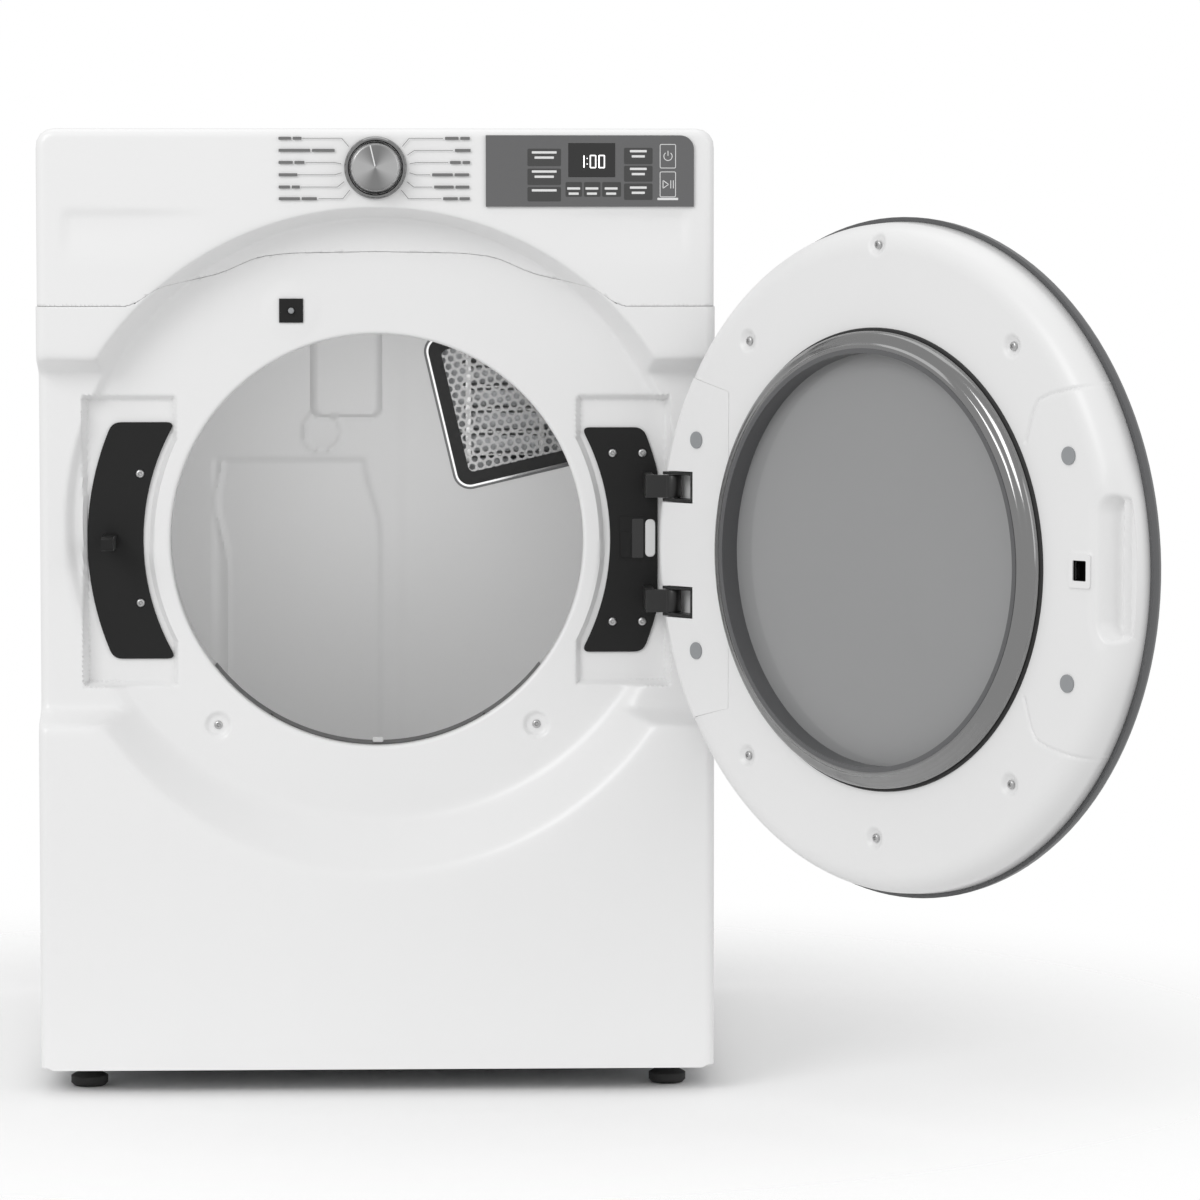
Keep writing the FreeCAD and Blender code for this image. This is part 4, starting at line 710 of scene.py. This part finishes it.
PANEL_FACE = FRONT - 0.6
PANEL_PRINT = (PANEL_FACE - 0.12, PANEL_FACE + 0.1)     # front and back of the panel's print
DIGITS = {"0": "abcdef", "1": "bc"}


def digit(figure, x, z, wide=5.4, tall=12.2, gauge=1.1):
    """One figure of the clock, from its lit segments."""
    middle, top, right = z + tall / 2, z + tall, x + wide
    runs = {"a": ((x, top), (right, top)), "b": ((right, middle), (right, top)),
            "c": ((right, z), (right, middle)), "d": ((x, z), (right, z)),
            "e": ((x, z), (x, middle)), "f": ((x, middle), (x, top))}
    return join(*[stroke(runs[s], gauge, FRONT - 1.05, FRONT - 0.5) for s in DIGITS[figure]])


def panel_label(x, z, width, rows=2):
    """The small print of one touch button, as bars."""
    bars = []
    for row in range(rows):
        shrink = 0.78 if row else 1.0
        low = z + (1 - row) * 5.2 - 1.3 - (0 if rows > 1 else 2.6)
        half = width * shrink / 2
        bars.append(slab(rounded_outline(x - half, x + half, low, low + 2.3, 0.4, 2),
                         PANEL_FACE - 0.12, PANEL_FACE + 0.2))
    return join(*bars)


def outline_band(x0, x1, z0, z1, radius=1.6, width=0.7):
    """A thin printed outline around a button."""
    return frame_band(rounded_outline(x0, x1, z0, z1, radius),
                      rounded_outline(x0 + width, x1 - width, z0 + width, z1 - width, radius - width),
                      *PANEL_PRINT)


def make_touch_panel():
    bars = [panel_label(169.9, z, 25, rows) for z, rows in ((927.7, 2), (908.5, 2), (892.2, 1))]
    bars += [panel_label(x, 891.5, 13) for x in (199.6, 218.0, 237.4)]
    bars += [panel_label(264.8, z, 17) for z in (929.0, 911.2, 892.4)]
    bars += [outline_band(286.5, 302.8, 916.8, 941.2), outline_band(286.5, 302.8, 887.8, 913.6)]
    bars.append(panel_label(294.6, 883.6, 21, 1))
    icon_x, power_z, start_z = 294.8, 928.9, 900.7
    arc = [(icon_x + 4.2 * math.cos(math.radians(a)), power_z + 4.2 * math.sin(math.radians(a)))
           for a in range(125, 416, 15)]
    bars.append(stroke(arc, 0.8, *PANEL_PRINT))
    bars.append(stroke([(icon_x, power_z + 0.6), (icon_x, power_z + 5.6)], 0.8, *PANEL_PRINT))
    arrow = [(icon_x - 5, start_z - 4), (icon_x + 0.6, start_z), (icon_x - 5, start_z + 4),
             (icon_x - 5, start_z - 4)]
    bars.append(stroke(arrow, 0.8, *PANEL_PRINT))
    for x in (icon_x + 2.8, icon_x + 5.4):
        bars.append(stroke([(x, start_z - 4), (x, start_z + 4)], 0.8, *PANEL_PRINT))
    piece("panel_print", *join(*bars), "cabinet", "black_gloss", M["panel_print"])
    pads = [slab(rounded_outline(x0, x1, z0, z1, 1.4), PANEL_FACE - 0.1, PANEL_FACE + 0.2)
            for x0, x1, z0, z1 in ((153, 186.8, 919, 936.5), (153, 186.8, 900, 916.5),
                                   (153, 186.8, 883.5, 898), (191.4, 208, 888.2, 903),
                                   (210, 226.6, 888.2, 903), (228.4, 247.4, 888.2, 903),
                                   (250.4, 279.2, 921, 937.4), (250.4, 279.2, 903.4, 919.4),
                                   (250.4, 279.2, 885, 901.6))]
    piece("panel_buttons", *join(*pads), "cabinet", "black_gloss", M["panel_button"])
    low = 917.5
    figures = [digit("1", 204.6, low), digit("0", 216.4, low), digit("0", 225.2, low)]
    figures += [slab(rounded_outline(212.6, 213.8, z - 0.6, z + 0.6, 0.5, 2), FRONT - 1.05, FRONT - 0.5)
                for z in (low + 3.6, low + 9.2)]
    piece("clock_figures", *join(*figures), "cabinet", "display", M["lit_digits"])


# ---------------------------------------------------------------- drum's rear wall and air inlet
GRILLE = (85.4, 556.9, 165.0, 182.0, math.radians(13.3))
HEX_PITCH, HEX_HOLE = 9.7, 3.6


def tilted(x, z):
    """A point given from the air grille's lower left corner, tilted with it."""
    left, low, _, _, lean = GRILLE
    return (left + x * math.cos(lean) - z * math.sin(lean), low + x * math.sin(lean) + z * math.cos(lean))


def from_grille(x, z):
    """The grille's own coordinates of a point on the rear wall."""
    left, low, _, _, lean = GRILLE
    dx, dz = x - left, z - low
    return dx * math.cos(lean) + dz * math.sin(lean), dz * math.cos(lean) - dx * math.sin(lean)


def grille_outline(inset, radius):
    _, _, wide, tall, _ = GRILLE
    return [tilted(x, z) for x, z in rounded_outline(inset, wide - inset, inset, tall - inset, radius, 8)]


def edge_inside(x, z, x0, x1, z0, z1, radius):
    """How far inside a rounded rectangle a point lies; negative outside."""
    mx, mz = (x0 + x1) / 2, (z0 + z1) / 2
    qx, qz = abs(x - mx) - (x1 - x0) / 2 + radius, abs(z - mz) - (z1 - z0) / 2 + radius
    return radius - math.hypot(max(qx, 0), max(qz, 0)) - min(max(qx, qz), 0)


def rear_relief(x, z):
    """How far the rear wall's pressings stand towards the drum, in millimetres."""
    out = 5.0 * ramp(edge_inside(x, z, -78.9, -2.4, 646, 840, 9), -3, 3)
    out += 2.0 * (1 - ramp(abs(math.hypot(x + 67.6, z - 627.4) - 22), 0, 2.4)) * (z < 646)
    border = -20.5 + ramp(596 - z, 0, 86) * 18.2
    hollow = ramp(596 - z, -3, 3) * ramp(x + 191.5, -3, 3) * ramp(border - x, -3, 3)
    out -= 1.8 * hollow
    ridge = -183.8 - 5.6 * ramp(596 - z, 0, 48) + 11.4 * ramp(547.6 - z, 0, 72)
    out += 2.0 * (1 - ramp(abs(x - ridge), 0, 5)) * ramp(596 - z, 0, 6)
    out += 1.6 * ramp(x, 14.8, 33)
    return min(out, 6.5)


def make_rear_wall():
    """The sheet behind the drum with its pressings, a window for the air inlet and the seal's hub."""
    step, half, low, high = 3.4, 334.0, 190.0, 880.0
    columns, rows = int(2 * half / step) + 1, int((high - low) / step) + 1
    spots = [(-half + 2 * half * c / (columns - 1), low + (high - low) * r / (rows - 1))
             for r in range(rows) for c in range(columns)]
    verts = [(x, REAR_Y - rear_relief(x, z), z) for x, z in spots]
    faces = []
    for r in range(rows - 1):
        for c in range(columns - 1):
            a = r * columns + c
            gx, gz = from_grille(*spots[a])
            if edge_inside(gx, gz, 0, GRILLE[2], 0, GRILLE[3], 20) < 5.5:
                faces.append((a, a + 1, a + columns + 1, a + columns))
    hub = lathe([(316, REAR_Y), (316, REAR_Y - 11), (313, REAR_Y - 11), (313, REAR_Y)],
                (0, OPENING_Z), 160)
    wall = piece("drum_rear_wall", *join((verts, faces), hub), "cabinet", "drum_enamel",
                 stands_for=("rear_bulkhead",))
    gauge = wall.modifiers.new("sheet_gauge", "SOLIDIFY")
    gauge.thickness, gauge.offset = 1.0 * MM, 1.0


def hex_mesh():
    """A flat net of six-sided cells with round holes, cut to the air grille's outline."""
    verts, faces = [], []
    wide, tall = GRILLE[2], GRILLE[3]
    side = HEX_PITCH / math.sqrt(3)
    row_rise = side * 1.5
    for row in range(int(tall / row_rise) + 1):
        for column in range(int(wide / HEX_PITCH) + 2):
            cx, cz = column * HEX_PITCH + (row % 2) * HEX_PITCH / 2, row * row_rise
            if edge_inside(cx, cz, 0, wide, 0, tall, 20) < 14.5:
                continue
            start = len(verts)
            for kind in range(3):
                for step in range(12):
                    turn = math.radians(30 * step + 30)
                    apothem = side * math.cos(math.radians(30))
                    reach = side if step % 2 == 0 else apothem
                    if kind:
                        reach = HEX_HOLE
                    x, z = tilted(cx + reach * math.cos(turn), cz + reach * math.sin(turn))
                    verts.append((x, REAR_Y - 2.6 + (1.2 if kind == 2 else 0.0), z))
            for ring in (0, 12):
                for step in range(12):
                    nxt = (step + 1) % 12
                    faces.append((start + ring + step, start + ring + nxt, start + ring + 12 + nxt,
                                  start + ring + 12 + step))
    return verts, faces


def make_air_grille():
    piece("inlet_mesh", *hex_mesh(), "cabinet", "mesh", stands_for=("air_grille_screen",))
    bands = (("inlet_border", "dark_plate", 5.2, 15, 19.5, 7, 3.0, 0.4),
             ("inlet_chrome", "chrome", 3.2, 17, 5.4, 15, 4.2, 0.4),
             ("inlet_rim", "dark_rim", 0.4, 20, 3.3, 17, 3.4, 0.4))
    for name, slot, far, far_r, near, near_r, rise, back in bands:
        band = frame_band(grille_outline(far, far_r), grille_outline(near, near_r), REAR_Y - rise,
                          REAR_Y - back)
        stands_for = ("air_grille_frame",) if name == "inlet_rim" else ()
        piece(name, *band, "cabinet", slot, stands_for=stands_for)


def make_collar_liner():
    """The dark liner round the opening's lower part, slotted where the lint filter lifts out."""
    slot_half, reach, slot = 31.5, 52, (-297.5, -282.5)
    front, back, outer, inner = FRONT + 55, -253.0, 212.6, 211.4
    parts = []
    for low, high, near, far in ((-reach, -slot_half, front, back), (slot_half, reach, front, back),
                                 (-slot_half, slot_half, front, slot[0]),
                                 (-slot_half, slot_half, slot[1], back)):
        steps = max(int(high - low), 2)
        ring = []
        for step in range(steps + 1):
            turn = math.radians(270 + low + (high - low) * step / steps)
            for radius, y in ((outer, near), (inner, near), (inner, far), (outer, far)):
                ring.append((radius * math.cos(turn), y, OPENING_Z + radius * math.sin(turn)))
        faces = [(3, 2, 1, 0), tuple(4 * steps + i for i in range(4))]
        for step in range(steps):
            for i in range(4):
                a, b = 4 * step + i, 4 * step + (i + 1) % 4
                faces.append((a, b, b + 4, a + 4))
        parts.append((ring, faces))
    piece("collar_liner", *join(*parts), "cabinet", "grey_plastic")


def make_filter_handle():
    """The light notch in the middle of the filter's top edge."""
    low, high = OPENING_Z - OPENING + 0.9, OPENING_Z - OPENING + 5.5
    handle = slab(rounded_outline(-5.5, 5.5, low, high, 1.6), FRONT + 78, FRONT + 88, 0.6)
    piece("filter_handle", *handle, "lint_filter", "white_plastic")


# ---------------------------------------------------------------- door
RING_RISE = 16.4            # how far the ring's lip stands off the panel


def door_ring(name, profile, slot, stands_for=()):
    """A ring about the inner glass, from radii and depths below the panel."""
    verts, faces = lathe([(r, PANEL_Y - out) for r, out in profile], (0, DOOR_Z), 200, True)
    piece(name, swung(verts), faces, "door", slot, stands_for=stands_for)


def make_trim_ring():
    """The polished two-step ring, a dark wall inside it that is painted shade, and a dark band at its foot
    that is a painted shadow.
    """
    steps = [(203.6, 3), (201, 3), (200.4, 2.2), (200.9, 0.6), (202.2, 0), (206.4, 0), (208, 0.5),
             (209.6, 2.8), (211.2, 4), (214.6, 4.5), (217.6, 5.6), (219.9, 8), (221, 10.2), (221.4, 13)]
    door_ring("door_trim_ring", [(r, out - RING_RISE) for r, out in steps] + [(221.4, 0.0), (203.6, 0.0)],
              "chrome", ("door_glass_ring",))
    # painted shade: the wall inside the ring's lip is coloured dark where shade falls
    door_ring("door_ring_inner_shade", [(203.4, 3.2), (199.8, 3.2), (199.8, -0.5 - RING_RISE),
                                      (204.6, -0.5 - RING_RISE), (204.6, 1 - RING_RISE),
                                      (203.4, 1 - RING_RISE)], "dark_rim")
    # painted shadow: a dark band round the ring's foot where it meets the panel
    door_ring("door_ring_foot_shadow", [(220.9, 0.6), (224.2, 0.6), (224.2, -1.2), (223.2, -2.2),
                                   (220.9, -2.2)], "rubber")


PANEL_RAYS, PANEL_ROLL, PANEL_EDGE, SKIRT = 1200, 296.0, 326.0, 36.0
INSERT_LINE = ((200, 120), (209, 148), (216, 159), (232, 165), (283, 176), (330, 196))
STRIKE = (-271.5, 538.5)


def make_strike_frame():
    """The white frame about the strike's socket, and the bright catch seen inside it."""
    sx, sz = STRIKE
    band = frame_band(rounded_outline(sx - 13.5, sx + 13.5, sz - 16, sz + 16, 3),
                      rounded_outline(sx - 8.4, sx + 8.4, sz - 9.5, sz + 9.5, 1.2),
                      PANEL_Y + 0.6, PANEL_Y + 1.9)
    verts, faces = band
    piece("strike_frame", swung(verts), faces, "door", "white_plastic")
    catch = slab(rounded_outline(sx + 6.6, sx + 8.2, sz - 8.5, sz + 8.5, 0.5, 3), PANEL_Y - 6,
                 PANEL_Y - 1, 0.4)
    piece("strike_catch", swung(catch[0]), catch[1], "door", "chrome")


def to_line(x, z, points):
    """Distance from a point to a chain of straight runs."""
    near = 1e9
    for (x0, z0), (x1, z1) in zip(points, points[1:]):
        run = (x1 - x0) ** 2 + (z1 - z0) ** 2
        t = min(max(((x - x0) * (x1 - x0) + (z - z0) * (z1 - z0)) / run, 0), 1)
        near = min(near, math.hypot(x - x0 - t * (x1 - x0), z - z0 - t * (z1 - z0)))
    return near


def panel_depth(x, z):
    """How deep the door's inner skin lies behind its flat face, on the shut door."""
    reach = math.hypot(x, z - DOOR_Z)
    t = min(max((reach - PANEL_ROLL) / (PANEL_EDGE - PANEL_ROLL), 0), 1)
    depth = SKIRT * (1 - (1 - t ** 2.5) ** 0.4)
    for sx, rise in DOOR_SCREWS:
        depth += 3.8 * (1 - ramp(math.hypot(x - sx, z - DOOR_Z - rise), 5.8, 12.5))
    if x < -190:
        line = to_line(-x, abs(z - DOOR_Z), INSERT_LINE)
        depth += 1.5 * (1 - ramp(line, 0.4, 2.2))
        flare = 1 - ramp(math.hypot((x + 318) / 24, max(abs(z - DOOR_Z) - 62, 0) / 62), 0, 1)
        inside = edge_inside(x, z, -380, -289, 467, 617, 26)
        well = 24.0 * ramp(inside, 0, 13) * (1 - ramp(reach, PANEL_EDGE - 5, PANEL_EDGE - 1))
        well -= 6.0 * (1 - ramp(inside, -14, 0))
        depth += 6.0 * flare
        ridge = 6.0 * (1 - ramp(abs(x + 309.5), 0, 4.5)) * ramp(inside, 4, 14)
        depth = blend_max(depth, well - ridge * (well > 12), 5.0)
        depth -= 0.9 * ramp(edge_inside(x, z, -286, -257, 521, 556, 4), -1, 1.5)
    return depth


def make_door_skin():
    """The door's white inner skin: one pressing with dimples, the strike's insert and the grip."""
    reaches = [203 + 123 * step / 84 for step in range(85)]
    verts = []
    for reach in reaches:
        for ray in range(PANEL_RAYS):
            turn = math.tau * ray / PANEL_RAYS
            x, z = reach * math.cos(turn), DOOR_Z + reach * math.sin(turn)
            verts.append((x, PANEL_Y - panel_depth(x, z), z))
    faces = ring_faces(len(reaches), PANEL_RAYS)
    skin = piece("door_inner_skin", verts, faces, "door", "white_plastic",
                 stands_for=("door_inner_panel", "door_strike_insert"))
    trim_for_insert(skin.data)
    for v in skin.data.vertices:
        v.co = Vector(swung([v.co / MM])[0]) * MM
    skin.data.shade_smooth()
    gauge = skin.modifiers.new("wall", "SOLIDIFY")
    gauge.thickness, gauge.offset = 1.2 * MM, -1.0


def trim_for_insert(mesh):
    """Takes the hinge insert's bay and the strike's socket out of the skin."""
    skin = bmesh.new()
    skin.from_mesh(mesh)
    corners = [(208.7, -158), (208.7, 158), (283, 176.4), (340, 190)]
    for (x0, z0), (x1, z1) in ((corners[0], corners[1]), (corners[1], corners[2]),
                               (corners[2], corners[3]), ((208.7, -158), (283, -176.4)),
                               ((283, -176.4), (340, -190))):
        near = [f for f in skin.faces if f.calc_center_median().x / MM > 200]
        geom = list({v for f in near for v in f.verts}) + list({e for f in near for e in f.edges}) + near
        bmesh.ops.bisect_plane(skin, geom=geom, plane_co=Vector((x0, 0, DOOR_Z + z0)) * MM,
                               plane_no=Vector((z1 - z0, 0, x0 - x1)).normalized(), dist=1e-7)
    for f in list(skin.faces):
        spot = f.calc_center_median() / MM
        half = along(((200, 158), (208.7, 158), (283, 176.4), (340, 190)), spot.x) if spot.x > 200 else 0
        bay = spot.x > 208.7 and abs(spot.z - DOOR_Z) < half
        socket = abs(spot.x - STRIKE[0]) < 10 and abs(spot.z - STRIKE[1]) < 12
        if bay or socket:
            skin.faces.remove(f)
    keep_faced(skin, mesh)


# ---------------------------------------------------------------- latch and hinge covers, top
def rounded_corners(points, radius, steps=5):
    """A closed outline with its sharper corners rounded."""
    out = []
    for i, point in enumerate(points):
        here = Vector(point)
        before, after = Vector(points[i - 1]) - here, Vector(points[(i + 1) % len(points)]) - here
        if before.length < radius or after.length < radius or before.angle(after) > 2.6:
            out.append(tuple(here))
            continue
        a, b = here + before.normalized() * radius, here + after.normalized() * radius
        for step in range(steps + 1):
            t = step / steps
            out.append(tuple(a * (1 - t) ** 2 + here * 2 * t * (1 - t) + b * t * t))
    return out


COVER_CORNER = 9.0          # rounding of the black covers' corners


def arc_plate(side, inner, outer, half, limit):
    """The outline of a plate between two arcs about the opening, cut level above and below."""
    def arc(radius, sign):
        reach = math.asin(min(half / radius, 1))
        return [(radius * math.cos(reach * sign * (1 - step / 12)), OPENING_Z
                 + radius * math.sin(reach * sign * (1 - step / 12))) for step in range(25)]
    points = [(min(x, limit), z) for x, z in arc(outer, 1)] + arc(inner, -1)
    return rounded_corners([(side * x, z) for x, z in points][::side], COVER_CORNER)


def make_covers():
    """The black covers of the latch and the hinge, with the hinge cover's small middle pocket."""
    face = FRONT + POCKET_DEPTH - 3
    for name, side, inner, outer, half, limit in (("latch_cover", -1, 238.5, 295.5, 121, 400),
                                                  ("hinge_cover", 1, 238.5, 295.5, 115.2, 287.2)):
        verts, faces = slab(arc_plate(side, inner, outer, half, limit), face, face + 3.2, 0.8)
        node = name.replace("cover", "plate")
        piece(name, verts, faces, "cabinet", "dark_plate", stands_for=(node,), smooth=False)
    rim = frame_band(rounded_outline(246.8, 285.3, 517.3, 563.4, 2.5),
                     rounded_outline(247.8, 284.3, 518.3, 562.4, 1.5), face - 0.5, face + 0.5)
    lid = slab(rounded_outline(249.4, 259.6, 520, 547, 1.5), face - 0.6, face + 0.4, 0.3)
    piece("hinge_cover_trim", *join(rim, lid), "cabinet", "dark_plate")
    piece("hinge_cover_slot", *slab(rounded_outline(261, 272.5, 520, 560, 1.2), face - 0.2, face + 0.4),
          "cabinet", "display")
    piece("hinge_cover_wedge", *slab(rounded_outline(274.5, 284.7, 521, 559.5, 4.5), face - 1.6,
                                     face + 0.4, 1.0), "cabinet", "white_plastic")


def make_top():
    """The flat top sheet, rounded along both sides like the console in front of it."""
    wide, crown = SIDE, 17.0
    points = [(-wide, 937.0), (wide, 937.0)]
    for cx, start in ((wide - crown, 0), (crown - wide, 90)):
        for step in range(9):
            turn = math.radians(start + 90 * step / 8)
            points.append((cx + crown * math.cos(turn), 957 - crown + crown * math.sin(turn)))
    rows = [(FRONT + SHEET_BACK, 0), (366, 0), (369, 0.6), (371.3, 2.2), (372.5, 4.5)]
    verts = [(x * (1 - drop / 343), y, z - drop * (z > 940)) for y, drop in rows for x, z in points]
    count = len(points)
    faces = [tuple(range(count)), tuple(reversed(range((len(rows) - 1) * count, len(rows) * count)))]
    for row in range(len(rows) - 1):
        for i in range(count):
            j = (i + 1) % count
            faces.append((row * count + j, row * count + i, (row + 1) * count + i, (row + 1) * count + j))
    piece("top_sheet", verts, faces, "cabinet", "white_enamel", stands_for=("top_panel",))


def soften_nodes():
    for node, width in (("hinge_arms", 1.2),
                        ("latch_tongue", 1.0), ("door_switch_housing", 0.8),
                        ("left_side_panel", 0.8), ("right_side_panel", 0.8), ("terminal_cover", 1.5),
                        ("door_strike", 0.5), ("drum_baffles", 5.0),
                        ("control_overlay", 0.3), ("lint_filter_frame", 0.8), ("front_left_foot", 1.0),
                        ("front_right_foot", 1.0), ("rear_left_foot", 1.0), ("rear_right_foot", 1.0),
                        ("door_plugs", 0.6), ("display_window", 0.2)):
        soften(node, width)


# ---------------------------------------------------------------- floor, light and camera
AMBIENT = 0.7
LAMPS = (("key", (-2.6, -4.0, 3.2), (0, 0, 0.5), 2.6, 82), ("fill", (3.4, -3.4, 1.8), (0, 0, 0.5), 2.6, 20),
         ("top", (0, 0.2, 3.8), (0, 0, 0.5), 2.6, 16),
         ("drum_fill", (0, -0.14, 0.6), (0, 0.3, 0.54), 0.3, 0.85))


def fade_floor():
    """The floor turns clear far from the dryer, so that it meets the white surround unseen."""
    tree = M["floor"].node_tree
    place = add(tree, "TexCoord").outputs["Object"]
    reach = add(tree, "VectorMath", {0: place}, operation="LENGTH")
    seen = add(tree, "MapRange", {"Value": reach.outputs["Value"], "From Min": 0.4, "From Max": 1.25,
                                  "To Min": 1.0, "To Max": 0.0}, interpolation_type="SMOOTHSTEP")
    tree.links.new(seen.outputs[0], tree.nodes["Principled BSDF"].inputs["Alpha"])


def make_stage():
    floor_mesh = bpy.data.meshes.new("studio_floor")
    half = 6.0
    floor_mesh.from_pydata([(-half, -half, 0), (half, -half, 0), (half, half, 0), (-half, half, 0)], [],
                           [(0, 1, 2, 3)])
    floor = bpy.data.objects.new("studio_floor", floor_mesh)
    floor.location = (0, 0, -0.0245)
    bpy.context.scene.collection.objects.link(floor)
    floor_mesh.materials.append(M["floor"])
    fade_floor()
    world = bpy.data.worlds.new("studio")
    world.use_nodes = True
    tree = world.node_tree
    backing = tree.nodes["Background"]
    backing.inputs["Color"].default_value = (1, 1, 1, 1)
    path = add(tree, "LightPath")
    strength = add(tree, "MapRange", {"Value": path.outputs["Is Camera Ray"], "To Min": AMBIENT,
                                      "To Max": 1.0})
    tree.links.new(strength.outputs[0], backing.inputs["Strength"])
    bpy.context.scene.world = world
    for name, spot, aim, size, power in LAMPS:
        light = bpy.data.lights.new(name, "AREA")
        light.size, light.energy = size, power
        lamp = bpy.data.objects.new(name, light)
        lamp.location = spot
        lamp.visible_camera = False
        lamp.rotation_euler = (Vector(aim) - Vector(spot)).to_track_quat("-Z", "Y").to_euler()
        bpy.context.scene.collection.objects.link(lamp)


def make_camera():
    """Nearly straight on, level with the console and far back, so the sides stay hidden."""
    camera = bpy.data.cameras.new("camera")
    camera.lens, camera.sensor_width = 150.83, 36.0
    camera.clip_end = 100
    holder = bpy.data.objects.new("camera", camera)
    holder.location = (0.0496, -5.4573, 0.8349)
    holder.rotation_euler = (math.radians(90 - 3.985), 0, math.radians(-1.989))
    bpy.context.scene.collection.objects.link(holder)
    bpy.context.scene.camera = holder


dress_nodes()
make_front()
make_screws()
make_labels()
make_knob()
make_touch_panel()
make_rear_wall()
make_air_grille()
make_filter_handle()
make_collar_liner()
make_strike_frame()
make_trim_ring()
make_door_skin()
make_covers()
make_top()
soften_nodes()
make_stage()
make_camera()

bpy.context.scene.view_settings.view_transform = "Standard"
bpy.context.view_layer.update()
